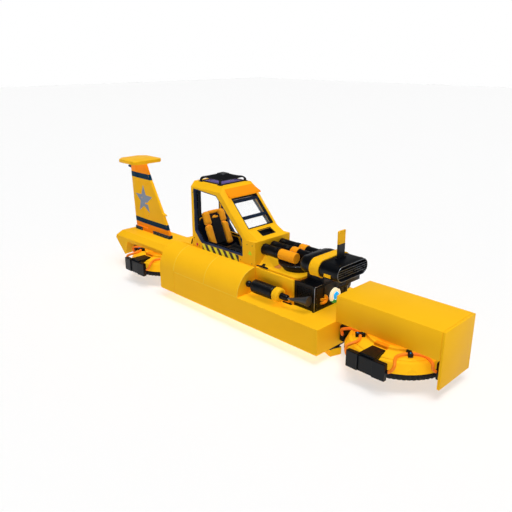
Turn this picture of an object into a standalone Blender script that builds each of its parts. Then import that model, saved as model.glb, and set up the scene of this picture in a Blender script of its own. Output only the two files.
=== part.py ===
# Modular hovercraft: flat yellow hull, open-sided cab, intake duct, T-tail fin and two hover pads.
# Metres, bow towards -Y, starboard towards -X, +Z up.
# Stations below count from the cab's front wall (y = 0), the deck (z = 0) and the centreline (x = 0).

import bpy
import bmesh
from math import atan2, cos, pi, radians, sin
from mathutils import Matrix, Vector

# Overall
GAP = 0.0003
FOOT_DROP = 0.70
BOW_TIP = -4.05
TAIL_TIP = 5.06
MID_LENGTH = (BOW_TIP + TAIL_TIP) / 2

# Hull and the centre modules on it
HULL_HALF = 1.0
HULL_BOW = -2.0
HULL_STERN = 2.5
HULL_DEPTH = 0.5
BAY_HALF = 0.5
BAY_HEIGHT = 0.5
EDGE_BEVEL = 0.008
POD_SEGMENTS = 14
FORE_BODY_BOW = -1.0
NOSE_BOW = -4.0
PLATE_THICK = 0.05

# Landing feet
FOOT_SIZE = 0.285
FOOT_HEIGHT = 0.16
FOOT_X = 0.475
FOOT_TURN = radians(20)
FOOT_STATIONS = {"front": -1.86, "rear": 2.25}

# Cab shell, outlines in (y, z)
CAB_REAR = 1.925
CAB_ROOF = 1.93
CAB_EDGE_HALF = 0.5
CAB_TOP_HALF = 0.4
CAB_SIDE_OUTLINE = [(0, GAP), (0, 1.0), (0.265, 1.0), (1.011, 1.82), (CAB_REAR, 1.82), (CAB_REAR, GAP)]
CAB_TOP_OUTLINE = [(0, GAP), (0, 1.0), (0.3, 1.15), (1.03, CAB_ROOF), (CAB_REAR, CAB_ROOF), (CAB_REAR, GAP)]
CAB_INNER_EDGE_HALF = 0.42
CAB_INNER_TOP_HALF = 0.38
CAB_INNER_SIDE = [(0.06, -0.01), (0.06, 0.95), (0.232, 0.95), (1.029, 1.826), (1.865, 1.826), (1.865, -0.01)]
CAB_INNER_TOP = [(0.06, -0.01), (0.06, 0.974), (0.33, 1.109), (1.042, 1.87), (1.865, 1.87), (1.865, -0.01)]
SIDE_OPENING = [(1.85, 1.79), (1.125, 1.75), (0.37, 1.005), (0.355, 0.64), (1.635, 0.635), (1.84, 0.865)]
SCREEN_LOW = Vector((0.335, 1.165))
SCREEN_HIGH = Vector((0.84, 1.705))
SCREEN_HALF = 0.36
SCREEN_NORMAL = Vector((-0.73, 0.683)).normalized()
VENT_HALF = 0.17
REAR_WINDOW_HALF = 0.29
SKYLIGHT_HALF = 0.33
SKYLIGHT_Y = (1.14, 1.78)
SPLIT_NOSE = [(-0.1, -0.1), (0.39, -0.1), (0.39, 1.027), (0.24, 1.232), (-0.1, 1.4)]
SPLIT_SCREEN = [(0.39, 1.027), (1.06, 1.78), (1.006, 2.05), (0.5, 2.05), (0.24, 1.232)]
SPLIT_ROOF = [(1.06, 1.78), (1.80, 1.805), (2.045, 2.05), (1.006, 2.05)]
SPLIT_REAR = [(1.80, -0.1), (2.045, -0.1), (2.045, 2.05), (1.80, 1.805)]

# Steering
WHEEL_CENTRE = Vector((0, 0.50, 0.80))
WHEEL_AXIS = Vector((0, 0.83, 0.56)).normalized()
WHEEL_RADIUS = 0.16
WHEEL_TUBE = 0.013
SHAFT_RADIUS = 0.0145
SHAFT_PLAY = 0.001
COLUMN_RADIUS = 0.03

# Air tubes and intake duct
TUBE_RADIUS = 0.105
TUBE_Z = 0.825
TUBE_PITCH = 0.25
SLEEVE_RADIUS = 0.12
SLEEVE_Y = (-0.85, -0.45)
DUCT_HALF = 0.455
DUCT_HALF_HEIGHT = 0.152
DUCT_Z = 0.82
DUCT_FRONT = -1.93
DUCT_REAR = -1.06
BLOWER_Y = -0.63
BLOWER_RADIUS = 0.35

# Tail
DECK_TOP_HALF = 0.385
DECK_TOP = 0.21
DECK_EDGE = 0.09
FIN_HALF = 0.035
HINGE_FOOT = Vector((0, 4.455, 0.85))
HINGE_AXIS = Vector((0, 0.13, 0.6)).normalized()
RUDDER_LOW = 0.32
RUDDER_HIGH = 1.88
RUDDER_CLEAR = 0.015
PIN_RADIUS = 0.009
STABILISER_Z = (1.96, 2.04)
STABILISER_HALF_PLAN = [(0.34, 4.12), (0.41, 4.20), (0.41, 4.80), (0.24, 4.95)]

# Hover pads
PAD_STATIONS = {"front": -3.0, "rear": 3.5}
PAD_REACH = {"side": 1.04, "end": 1.0 - GAP}
BLOCK_HALF = 0.385
BLOCK_Z = (-0.425, -0.09)
SKIRT_OUTER = 0.935
SKIRT_INNER = 0.86
SHELL_OUTER = 0.90
SHELL_LOW = -0.32
FAN_RADIUS = 0.50
FAN_Z = -0.27
FAN_BLADES = 6
HOSE_RADIUS = 0.030


def new_material(name, colour, roughness, metallic):
    material = bpy.data.materials.new(name)
    material.use_nodes = True
    shader = material.node_tree.nodes["Principled BSDF"]
    shader.inputs["Base Color"].default_value = (*colour, 1)
    shader.inputs["Roughness"].default_value = roughness
    shader.inputs["Metallic"].default_value = metallic
    return material


def clear_scene():
    for item in list(bpy.data.objects):
        bpy.data.objects.remove(item, do_unlink=True)


def solid(name, bm, material, parent):
    bmesh.ops.recalc_face_normals(bm, faces=bm.faces[:])
    mesh = bpy.data.meshes.new(name)
    bm.to_mesh(mesh)
    bm.free()
    item = bpy.data.objects.new(name, mesh)
    bpy.context.scene.collection.objects.link(item)
    item.parent = parent
    if material:
        item.data.materials.append(material)
    return item


def loft(name, rings, material=None, parent=None):
    # Rings are lists of points with equal counts, skinned in order and capped at both ends.
    bm = bmesh.new()
    rows = [[bm.verts.new(point) for point in ring] for ring in rings]
    for low, high in zip(rows, rows[1:]):
        for i in range(len(low)):
            j = (i + 1) % len(low)
            bm.faces.new((low[i], low[j], high[j], high[i]))
    bm.faces.new(rows[0])
    bm.faces.new(rows[-1][::-1])
    bm.normal_update()
    bmesh.ops.triangulate(bm, faces=bm.faces[:], ngon_method="EAR_CLIP")
    return solid(name, bm, material, parent)


def prism_x(name, outline, low, high, material=None, parent=None):
    rings = [[(x, y, z) for y, z in outline] for x in (low, high)]
    return loft(name, rings, material, parent)


def prism_y(name, outline, low, high, material=None, parent=None):
    rings = [[(x, y, z) for x, z in outline] for y in (low, high)]
    return loft(name, rings, material, parent)


def prism_z(name, outline, low, high, material=None, parent=None):
    rings = [[(x, y, z) for x, y in outline] for z in (low, high)]
    return loft(name, rings, material, parent)


def box(name, x, y, z, material=None, parent=None):
    outline = [(x[0], y[0]), (x[1], y[0]), (x[1], y[1]), (x[0], y[1])]
    return prism_z(name, outline, z[0], z[1], material, parent)


def lathe(name, profile, start, axis, segments=24, material=None, parent=None):
    # Profile is (distance along the axis, radius), from a closed end to a closed end.
    turn = axis.to_track_quat("Z", "Y").to_matrix()
    rings = []
    for along, radius in profile:
        ring = []
        for i in range(segments):
            angle = 2 * pi * (i + 0.5) / segments
            local = Vector((radius * cos(angle), radius * sin(angle), along))
            ring.append(start + turn @ local)
        rings.append(ring)
    item = loft(name, rings, material, parent)
    item.data.shade_smooth()
    item.data.set_sharp_from_angle(angle=radians(35))
    return item


def tube(name, path, radius, material=None, parent=None, sides=8):
    # A round rod through the points, its rings turned with the route.
    points = [Vector(point) for point in path]
    last = len(points) - 1
    side = Vector((0, 0, 1)) if abs((points[1] - points[0]).normalized().z) < 0.9 else Vector((0, 1, 0))
    rings = []
    for i, point in enumerate(points):
        along = (points[min(i + 1, last)] - points[max(i - 1, 0)]).normalized()
        side = (side - along * side.dot(along)).normalized()
        across = along.cross(side)
        angles = [2 * pi * (j + 0.5) / sides for j in range(sides)]
        rings.append([point + (side * cos(a) + across * sin(a)) * radius for a in angles])
    return loft(name, rings, material, parent)


def smooth_path(points, count):
    # A Catmull-Rom curve through the points, read at equal steps.
    knots = [Vector(point) for point in points]
    knots = [2 * knots[0] - knots[1]] + knots + [2 * knots[-1] - knots[-2]]
    spans = len(knots) - 3
    path = []
    for step in range(count):
        place = spans * step / (count - 1)
        i = min(int(place), spans - 1)
        t = place - i
        a, b, c, d = knots[i:i + 4]
        tail = (2 * a - 5 * b + 4 * c - d) * t * t + (3 * b - a - 3 * c + d) * t * t * t
        path.append((2 * b + (c - a) * t + tail) / 2)
    return path


def work(target, tool, operation):
    tool.parent = target.parent
    tool.hide_render = True
    tool.display_type = "WIRE"
    modifier = target.modifiers.new(operation.lower(), "BOOLEAN")
    modifier.operation = operation
    modifier.object = tool
    modifier.solver = "EXACT"


def bevel(item, width, segments=2):
    modifier = item.modifiers.new("edges", "BEVEL")
    modifier.width = width
    modifier.segments = segments
    modifier.limit_method = "ANGLE"
    modifier.angle_limit = radians(30)


def arc(centre, radius, start, end, count):
    angles = [radians(start + (end - start) * i / count) for i in range(count + 1)]
    return [(centre[0] + radius * cos(a), centre[1] + radius * sin(a)) for a in angles]


def stadium(half, half_height, z, segments=10):
    reach = half - half_height
    right = arc((reach, z), half_height, -90, 90, segments)
    left = arc((-reach, z), half_height, 90, 270, segments)
    return right + left


def inset(outline, distance):
    # Moves each side of a convex outline inwards and returns the new corners.
    count = len(outline)
    area = sum(outline[i - 1][0] * outline[i][1] - outline[i][0] * outline[i - 1][1] for i in range(count))
    lines = []
    for i in range(count):
        a = Vector(outline[i])
        along = (Vector(outline[(i + 1) % count]) - a).normalized()
        inward = Vector((-along.y, along.x)) * (1 if area > 0 else -1)
        lines.append((a + inward * distance, along))
    corners = []
    for i in range(count):
        a, u = lines[i - 1]
        b, v = lines[i]
        cross = u.x * v.y - u.y * v.x
        t = ((b - a).x * v.y - (b - a).y * v.x) / cross
        corners.append(tuple(a + u * t))
    return corners


def make_materials():
    return {
        "yellow": new_material("yellow_paint", (1.0, 0.50, 0.012), 0.45, 0.0),
        "orange": new_material("orange_paint", (1.0, 0.28, 0.012), 0.45, 0.0),
        "black": new_material("black_metal", (0.012, 0.014, 0.018), 0.45, 0.3),
        "rubber": new_material("black_rubber", (0.016, 0.016, 0.016), 0.75, 0.0),
        "grey": new_material("grey_metal", (0.10, 0.10, 0.11), 0.45, 0.6),
        "glass": new_material("clear_glass", (0.75, 0.80, 0.85), 0.08, 0.0),
        "lilac": new_material("lilac_glass", (0.40, 0.33, 0.70), 0.15, 0.0),
        "lens": new_material("cyan_lens", (0.02, 0.60, 0.85), 0.12, 0.0),
    }


def make_hull(paint, root):
    hull = box("hull", (-HULL_HALF, HULL_HALF), (HULL_BOW, HULL_STERN), (-HULL_DEPTH, 0), paint["yellow"], root)
    bevel(hull, EDGE_BEVEL)


def make_feet(paint, root):
    half = FOOT_SIZE / 2
    floor = -FOOT_DROP
    top = floor + FOOT_HEIGHT
    for place, station in FOOT_STATIONS.items():
        bar_x = (-FOOT_X - 0.11, FOOT_X + 0.11)
        bar_y = (station - 0.10, station + 0.10)
        item = box("skid_" + place, bar_x, bar_y, (top - 0.002, -HULL_DEPTH - GAP), paint["yellow"], root)
        for side in (-1, 1):
            turn = Matrix.Rotation(side * FOOT_TURN * (-1 if place == "rear" else 1), 2)
            outline = []
            for x, y in ((-half, -half), (half, -half), (half, half), (-half, half)):
                corner = turn @ Vector((x, y)) + Vector((side * FOOT_X, station))
                outline.append((corner.x, corner.y))
            foot = prism_z("foot_" + place + ("_left" if side > 0 else "_right"), outline, floor, top)
            work(item, foot, "UNION")


def make_pods(paint, root):
    for name, side in (("right", -1), ("left", 1)):
        inner = BAY_HALF + GAP
        curve = arc((BAY_HALF, 0), HULL_HALF - BAY_HALF, 0, 90, POD_SEGMENTS)
        outline = [(inner, GAP)] + [(max(x, inner), max(z, GAP)) for x, z in curve]
        outline = [(side * x, z) for x, z in outline]
        prism_y("side_pod_" + name, outline, 0, HULL_STERN, paint["yellow"], root)


def make_fore_body(paint, root):
    body = box("fore_body", (-BAY_HALF, BAY_HALF), (FORE_BODY_BOW, -GAP), (GAP, BAY_HEIGHT), paint["yellow"], root)
    bevel(body, EDGE_BEVEL)
    plan = [(-0.45, -0.05), (-0.45, -1.0), (-0.36, -1.075), (0.36, -1.075), (0.45, -1.0), (0.45, -0.05)]
    lid = prism_z("fairing_lid", plan, BAY_HEIGHT + GAP - 0.0006, BAY_HEIGHT + 0.035)
    work(body, lid, "UNION")
    ramp_rear = [(-0.42, -0.004, 0.51), (0.42, -0.004, 0.51), (0.215, -0.004, 0.70), (-0.215, -0.004, 0.70)]
    ramp_front = [(-0.42, -0.32, 0.51), (0.42, -0.32, 0.51), (0.32, -0.32, 0.55), (-0.32, -0.32, 0.55)]
    work(body, loft("fairing_ramp", [ramp_rear, ramp_front]), "UNION")
    well = lathe("blower_well", [(0.36, BLOWER_RADIUS), (0.9, BLOWER_RADIUS)], Vector((0, BLOWER_Y, 0)),
                 Vector((0, 0, 1)), 36)
    work(body, well, "DIFFERENCE")
    low = 0.36 + GAP
    profile = [(low, 0.32), (0.50, 0.335), (0.57, 0.345), (0.66, 0.335), (TUBE_Z - SLEEVE_RADIUS - GAP, 0.31)]
    lathe("blower_housing", profile, Vector((0, BLOWER_Y, 0)), Vector((0, 0, 1)), 36, paint["black"], root)


def make_machinery(paint, root):
    body = box("machinery_box", (-0.47, 0.47), (-1.48, FORE_BODY_BOW - GAP), (GAP, BAY_HEIGHT - GAP),
               paint["black"], root)
    plate = box("bulkhead_plate", (-BAY_HALF, BAY_HALF), (-1.50, -1.455), (GAP, BAY_HEIGHT - GAP))
    work(body, plate, "UNION")
    for side in (-1, 1):
        panel = box("panel_recess", sorted((side * 0.45, side * 0.6)), (-1.41, -1.07), (0.06, 0.42))
        work(body, panel, "DIFFERENCE")
    profile = [(GAP, 0.14), (0.06, 0.14), (0.075, 0.12), (0.085, 0.06)]
    lathe("lamp", profile, Vector((0.01, -1.50, 0.228)), Vector((0, -1, 0)), 28, paint["lens"], root)


def make_tubes(paint, root):
    forward = Vector((0, -1, 0))
    names = ("right", "middle", "left")
    for place, name in enumerate(names):
        start = Vector(((place - 1) * TUBE_PITCH, 0, TUBE_Z))
        if name == "right":
            profile = [(GAP, 0.085), (0.03, TUBE_RADIUS), (-SLEEVE_Y[1] - GAP, TUBE_RADIUS)]
        else:
            profile = [(GAP, 0.085), (0.03, TUBE_RADIUS), (0.54, TUBE_RADIUS), (0.54, 0.112), (0.70, 0.112),
                       (0.70, 0.098), (0.99, 0.098), (1.0, 0.112), (-DUCT_REAR - GAP, 0.112)]
        lathe("air_tube_" + name, profile, start, forward, 22, paint["black"], root)
    profile = [(-SLEEVE_Y[1], SLEEVE_RADIUS), (-SLEEVE_Y[0] - 0.015, SLEEVE_RADIUS), (-SLEEVE_Y[0], 0.105)]
    start = Vector((-TUBE_PITCH, 0, TUBE_Z))
    lathe("orange_sleeve", profile, start, forward, 24, paint["orange"], root)


def stadium_rings(stations, scale=1.0):
    rings = []
    for y, half, half_height in stations:
        rings.append([(x, y, z) for x, z in stadium(half * scale, half_height * scale, DUCT_Z)])
    return rings


def make_duct(paint, root):
    small = 0.88
    stations = [(DUCT_FRONT, DUCT_HALF, DUCT_HALF_HEIGHT), (-1.16, DUCT_HALF, DUCT_HALF_HEIGHT),
                (DUCT_REAR, DUCT_HALF * small, DUCT_HALF_HEIGHT * small)]
    duct = loft("intake_duct", stadium_rings(stations), paint["black"], root)
    mouth_half = DUCT_HALF - 0.035
    mouth_height = DUCT_HALF_HEIGHT - 0.035
    mouth = [(DUCT_FRONT - 0.1, mouth_half, mouth_height), (DUCT_FRONT + 0.30, mouth_half, mouth_height)]
    work(duct, loft("duct_mouth", stadium_rings(mouth)), "DIFFERENCE")

    rim = [(DUCT_FRONT - 0.03, DUCT_HALF, DUCT_HALF_HEIGHT), (DUCT_FRONT - GAP, DUCT_HALF, DUCT_HALF_HEIGHT)]
    grille = loft("intake_grille", stadium_rings(rim), paint["grey"], root)
    hole = [(DUCT_FRONT - 0.1, DUCT_HALF - 0.022, DUCT_HALF_HEIGHT - 0.022),
            (DUCT_FRONT + 0.1, DUCT_HALF - 0.022, DUCT_HALF_HEIGHT - 0.022)]
    work(grille, loft("grille_hole", stadium_rings(hole)), "DIFFERENCE")
    for z in (-0.08, -0.04, 0.0, 0.04, 0.08):
        half = DUCT_HALF - 0.045 - 0.35 * abs(z)
        slat = box("grille_slat", (-half - 0.035, half + 0.035), (DUCT_FRONT - 0.025, DUCT_FRONT - 0.008),
                   (DUCT_Z + z - 0.005, DUCT_Z + z + 0.005))
        work(grille, slat, "UNION")

    ring = [(-1.54, DUCT_HALF + 0.022, DUCT_HALF_HEIGHT + 0.022), (-1.33, DUCT_HALF + 0.022, DUCT_HALF_HEIGHT + 0.022)]
    band = loft("duct_band", stadium_rings(ring), paint["yellow"], root)
    seat = [(-1.7, DUCT_HALF + GAP, DUCT_HALF_HEIGHT + GAP), (-1.2, DUCT_HALF + GAP, DUCT_HALF_HEIGHT + GAP)]
    work(band, loft("band_seat", stadium_rings(seat)), "DIFFERENCE")

    low = DUCT_Z + DUCT_HALF_HEIGHT + GAP
    box("sight_blade", (-0.10, 0.10), (-1.69, -1.66), (low, 1.505), paint["black"], root)
    make_cradle(paint, root)


def make_cradle(paint, root):
    under_band = DUCT_Z - DUCT_HALF_HEIGHT - 0.022 - GAP
    under_duct = DUCT_Z - DUCT_HALF_HEIGHT - GAP
    cradle = box("duct_cradle", (-0.22, 0.22), (-1.49, -1.09), (BAY_HEIGHT, under_band), paint["black"], root)
    chin = box("cradle_chin", (-0.06, 0.37), (-1.86, -1.70), (0.53, under_duct))
    work(cradle, chin, "UNION")
    rib = box("cradle_rib", (-0.06, 0.06), (-1.72, -1.45), (0.56, under_band))
    work(cradle, rib, "UNION")


def make_struts(paint, root):
    forward = Vector((0, -1, 0))
    for name, side in (("right", -1), ("left", 1)):
        start = Vector((side * 0.69, 0, 0.21))
        profile = [(GAP, 0.04), (0.02, 0.057), (0.06, 0.068), (0.10, 0.055), (0.115, 0.03), (0.13, 0.03),
                   (0.15, 0.105), (0.18, 0.13), (0.70, 0.13), (0.72, 0.14), (0.86, 0.14), (0.875, 0.12),
                   (0.88, 0.06), (1.02, 0.06), (1.04, 0.05), (1.08, 0.022), (1.12, 0.022)]
        strut = lathe("deck_strut_" + name, profile, start, forward, 20, paint["black"], root)
        tip = Vector((side * 0.69, -1.09, 0.21))
        base = Vector((side * 0.587, -1.4547, 0.235))
        rings = []
        for centre, radius in ((tip, 0.02), (base, 0.11)):
            ring = [centre + Vector((radius * cos(a), 0, radius * sin(a))) for a in
                    [2 * pi * i / 18 for i in range(18)]]
            rings.append(ring)
        work(strut, loft("strut_cone", rings), "UNION")


def cab_shell(name, material, root):
    stations = [(-CAB_EDGE_HALF, CAB_SIDE_OUTLINE), (-CAB_TOP_HALF, CAB_TOP_OUTLINE),
                (CAB_TOP_HALF, CAB_TOP_OUTLINE), (CAB_EDGE_HALF, CAB_SIDE_OUTLINE)]
    return loft(name, [[(x, y, z) for y, z in outline] for x, outline in stations], material, root)


def cab_cutters():
    stations = [(-CAB_INNER_EDGE_HALF, CAB_INNER_SIDE), (-CAB_INNER_TOP_HALF, CAB_INNER_TOP),
                (CAB_INNER_TOP_HALF, CAB_INNER_TOP), (CAB_INNER_EDGE_HALF, CAB_INNER_SIDE)]
    room = loft("cab_room", [[(x, y, z) for y, z in outline] for x, outline in stations])
    reach = SCREEN_NORMAL * 0.15
    band = [SCREEN_LOW - reach, SCREEN_HIGH - reach, SCREEN_HIGH + reach, SCREEN_LOW + reach]
    return [
        room,
        prism_x("side_opening", SIDE_OPENING, -0.6, 0.6),
        prism_x("screen_opening", [tuple(point) for point in band], -SCREEN_HALF, SCREEN_HALF),
        box("hood_vent", (-VENT_HALF, VENT_HALF), (0.115, 0.25), (0.9, 1.25)),
        box("rear_window", (-REAR_WINDOW_HALF, REAR_WINDOW_HALF), (1.8, 2.0), (1.16, 1.72)),
        box("skylight_hole", (-SKYLIGHT_HALF, SKYLIGHT_HALF), SKYLIGHT_Y, (1.84, 2.0)),
    ]


def make_cab(paint, root):
    cutters = cab_cutters()
    split = GAP / 2
    side_x = (CAB_TOP_HALF + split, 0.7)
    regions = {
        "cab_side_right": box("keep_right", (-side_x[1], -side_x[0]), (-0.1, 2.1), (-0.1, 2.1)),
        "cab_side_left": box("keep_left", side_x, (-0.1, 2.1), (-0.1, 2.1)),
    }
    centre = {"cab_nose": SPLIT_NOSE, "windscreen_frame": SPLIT_SCREEN, "cab_roof": SPLIT_ROOF,
              "cab_rear_wall": SPLIT_REAR}
    for name, outline in centre.items():
        half = CAB_TOP_HALF - split
        regions[name] = prism_x("keep_" + name, inset(outline, split), -half, half)
    for name, region in regions.items():
        panel = cab_shell(name, paint["yellow"], root)
        for cutter in cutters:
            work(panel, cutter, "DIFFERENCE")
        work(panel, region, "INTERSECT")


def screen_slab(name, start, end, half, inner, outer, material=None, parent=None):
    # A slab in the windscreen's plane, from start to end up the screen, between two depths.
    along = (SCREEN_HIGH - SCREEN_LOW).normalized()
    corners = [SCREEN_LOW + along * start, SCREEN_LOW + along * end]
    outline = [tuple(corners[0] + SCREEN_NORMAL * inner), tuple(corners[1] + SCREEN_NORMAL * inner),
               tuple(corners[1] + SCREEN_NORMAL * outer), tuple(corners[0] + SCREEN_NORMAL * outer)]
    return prism_x(name, outline, -half, half, material, parent)


def make_cab_glass(paint, root):
    height = (SCREEN_HIGH - SCREEN_LOW).length
    half = SCREEN_HALF - GAP
    frame = screen_slab("screen_guard", GAP, height - GAP, half, -0.045, 0.004, paint["black"], root)
    light = screen_slab("guard_light", 0.03, height - 0.03, half - 0.03, -0.1, 0.1)
    work(frame, light, "DIFFERENCE")
    for centre in (0.255, 0.655):
        bar = screen_slab("guard_bar", centre - 0.024, centre + 0.024, half - 0.01, -0.03, 0.002)
        work(frame, bar, "UNION")
    screen_slab("windscreen_glass", -0.01, height + 0.01, half + 0.01, -0.053, -0.0453, paint["glass"], root)
    box("skylight", (GAP - SKYLIGHT_HALF, SKYLIGHT_HALF - GAP), (SKYLIGHT_Y[0] + GAP, SKYLIGHT_Y[1] - GAP),
        (1.90, 1.94), paint["lilac"], root)


def screen_y(z):
    (y0, z0), (y1, z1) = CAB_TOP_OUTLINE[2:4]
    return y0 + (y1 - y0) * (z - z0) / (z1 - z0)


def make_visor(paint, root):
    lift = 0.0006
    top = (screen_y(1.885) - lift, 1.885)
    bottom = (screen_y(1.722) - lift, 1.722)
    lip = (0.765, 1.738)
    brow = (0.782, 1.768)
    rings = []
    for side in (-1, 1):
        rings.append([(side * 0.395, *top), (side * 0.40, *bottom), (side * 0.435, *lip), (side * 0.435, *brow)])
    loft("visor", rings, paint["orange"], root)


def make_roof_guard(paint, root):
    plan = [(-0.20, 1.20), (0.20, 1.20), (0.27, 1.27), (0.27, 1.65), (0.20, 1.72), (-0.20, 1.72), (-0.27, 1.65),
            (-0.27, 1.27)]
    low = [(x, y, 2.03) for x, y in plan]
    middle = [(x, y, 2.055) for x, y in plan]
    high = [(x * 0.35, 1.46 + (y - 1.46) * 0.35, 2.10) for x, y in plan]
    guard = loft("roof_guard", [low, middle, high], paint["black"], root)
    for side_x in (-1, 1):
        for side_y in (-1, 1):
            points = [(side_x * 0.35, 1.46 + side_y * 0.30, CAB_ROOF + GAP), (side_x * 0.35, 1.46 + side_y * 0.30, 1.99),
                      (side_x * 0.31, 1.46 + side_y * 0.27, 2.035), (side_x * 0.22, 1.46 + side_y * 0.20, 2.043)]
            leg = tube("guard_leg", points, 0.014)
            work(guard, leg, "UNION")


def make_interior(paint, root):
    half = CAB_INNER_EDGE_HALF - GAP
    box("cab_floor", (-half, half), (0.06 + GAP, 1.865 - GAP), (GAP, 0.04), paint["rubber"], root)
    outline = [(0.0603, 0.0403), (0.0603, 0.93), (0.20, 0.945), (0.33, 0.82), (0.30, 0.50), (0.18, 0.34),
               (0.18, 0.0403)]
    dash = prism_x("dashboard", outline, -0.41, 0.41, paint["black"], root)
    column = lathe("steering_column", [(-0.25, COLUMN_RADIUS), (-0.055, COLUMN_RADIUS)], WHEEL_CENTRE, WHEEL_AXIS, 20)
    work(dash, column, "UNION")
    bore = lathe("column_bore", [(-0.13, SHAFT_RADIUS + SHAFT_PLAY), (0.1, SHAFT_RADIUS + SHAFT_PLAY)], WHEEL_CENTRE,
                 WHEEL_AXIS, 20)
    work(dash, bore, "DIFFERENCE")

    base = box("seat_frame", (-0.20, 0.20), (1.06, 1.56), (0.04 + GAP, 0.40), paint["black"], root)
    outline = [(1.50, 0.38), (1.66, 0.38), (1.795, 0.90), (1.7572, 0.90), (1.6045, 0.5245), (1.50, 0.5245)]
    work(base, prism_x("seat_upright", outline, -0.15, 0.15), "UNION")


def make_seat(paint, root):
    box("seat_cushion", (-0.295, 0.295), (0.98, 1.49), (0.40 + GAP, 0.52), paint["orange"], root)
    outline = [(1.475, 0.525), (1.77, 1.235), (1.80, 1.27), (1.855, 1.25), (1.855, 1.15), (1.603, 0.525)]
    prism_x("seat_back", outline, -0.305, 0.305, paint["orange"], root)


def make_steering(paint, root):
    pivot = bpy.data.objects.new("steering_pivot", None)
    bpy.context.scene.collection.objects.link(pivot)
    pivot.parent = root
    pivot.location = WHEEL_CENTRE
    zero = Vector((0, 0, 0))
    turn = WHEEL_AXIS.to_track_quat("Z", "Y").to_matrix()
    bm = bmesh.new()
    rim_steps = 28
    tube_steps = 8
    rows = []
    for i in range(rim_steps):
        angle = 2 * pi * i / rim_steps
        row = []
        for j in range(tube_steps):
            around = 2 * pi * j / tube_steps
            reach = WHEEL_RADIUS + WHEEL_TUBE * cos(around)
            local = Vector((reach * cos(angle), reach * sin(angle), WHEEL_TUBE * sin(around)))
            row.append(bm.verts.new(turn @ local))
        rows.append(row)
    for i in range(rim_steps):
        for j in range(tube_steps):
            k = (i + 1) % rim_steps
            m = (j + 1) % tube_steps
            bm.faces.new((rows[i][j], rows[k][j], rows[k][m], rows[i][m]))
    wheel = solid("steering_wheel", bm, paint["rubber"], pivot)
    hub = lathe("wheel_hub", [(-0.125, SHAFT_RADIUS), (-0.045, SHAFT_RADIUS), (-0.04, 0.035), (0.01, 0.035),
                              (0.018, 0.025)], zero, WHEEL_AXIS, 20)
    work(wheel, hub, "UNION")
    for degrees in (-90, 30, 150):
        local = Vector((cos(radians(degrees)), sin(radians(degrees)), 0))
        spoke = tube("wheel_spoke", [turn @ local * 0.02, turn @ local * WHEEL_RADIUS], 0.009)
        work(wheel, spoke, "UNION")


def deck_ring(half, z, end):
    start = HULL_STERN + GAP
    return [(-half, start, z), (half, start, z), (half, end, z), (-half, end, z)]


def make_tail_deck(paint, root):
    rings = [deck_ring(BAY_HALF, 0, TAIL_TIP), deck_ring(BAY_HALF, 0.03, TAIL_TIP),
             deck_ring(BAY_HALF, DECK_EDGE, 5.03), deck_ring(DECK_TOP_HALF, DECK_TOP, 4.93)]
    deck = loft("tail_deck", rings, paint["yellow"], root)
    wedge = [(TAIL_TIP - 0.004, 0.01), (4.535, 0.01), (4.68, -0.355), (4.705, -0.355)]
    work(deck, prism_x("tail_wedge", wedge, -BAY_HALF, BAY_HALF), "UNION")
    top = [(CAB_REAR + GAP, 0.52), (HULL_STERN, BAY_HEIGHT), (HULL_STERN, GAP), (CAB_REAR + GAP, GAP)]
    prism_x("rear_cowl", top, -BAY_HALF, BAY_HALF, paint["yellow"], root)


def hinge_y(z):
    return HINGE_FOOT.y + (z - HINGE_FOOT.z) * HINGE_AXIS.y / HINGE_AXIS.z


def trailing_y(z):
    knots = [(0.20, 4.80), (0.535, 4.83), (1.785, 4.90), (1.96, 4.908)]
    for (z0, y0), (z1, y1) in zip(knots, knots[1:]):
        if z <= z1:
            return y0 + (y1 - y0) * (z - z0) / (z1 - z0)
    return knots[-1][1]


def make_fin(paint, root):
    top = STABILISER_Z[0] - GAP
    foot_top = 0.29
    low = DECK_TOP + GAP
    nose_back = 0.045
    high_cut = RUDDER_HIGH + RUDDER_CLEAR
    low_cut = RUDDER_LOW - RUDDER_CLEAR
    outline = [(3.405, foot_top + GAP), (3.41, 0.325), (3.475, 0.45), (3.505, 0.54), (3.63, 0.762), (3.535, 0.775),
               (3.655, 0.815), (4.08, 1.57), (4.13, 1.675), (4.26, 1.93), (4.275, top), (4.908, top),
               (trailing_y(high_cut), high_cut), (hinge_y(high_cut) - nose_back, high_cut),
               (hinge_y(low_cut) - nose_back, low_cut), (trailing_y(low_cut), low_cut),
               (trailing_y(foot_top), foot_top + GAP), (4.522, foot_top + GAP), (4.522, low), (4.053, low),
               (4.053, foot_top + GAP)]
    fin = prism_x("fin", outline, -FIN_HALF, FIN_HALF, paint["yellow"], root)
    for z, reach in ((high_cut, 1), (low_cut, -1)):
        centre = Vector((0, hinge_y(z), z))
        bore = lathe("pin_bore", [(-0.03, PIN_RADIUS + 0.0015), (0.03, PIN_RADIUS + 0.0015)], centre,
                     HINGE_AXIS * reach, 16)
        work(fin, bore, "DIFFERENCE")
    box("fin_foot_front", (-0.055, 0.055), (3.395, 4.053 - GAP), (low, foot_top), paint["black"], root)
    box("fin_foot_rear", (-0.055, 0.055), (4.522 + GAP, 4.80), (low, foot_top), paint["black"], root)


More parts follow.
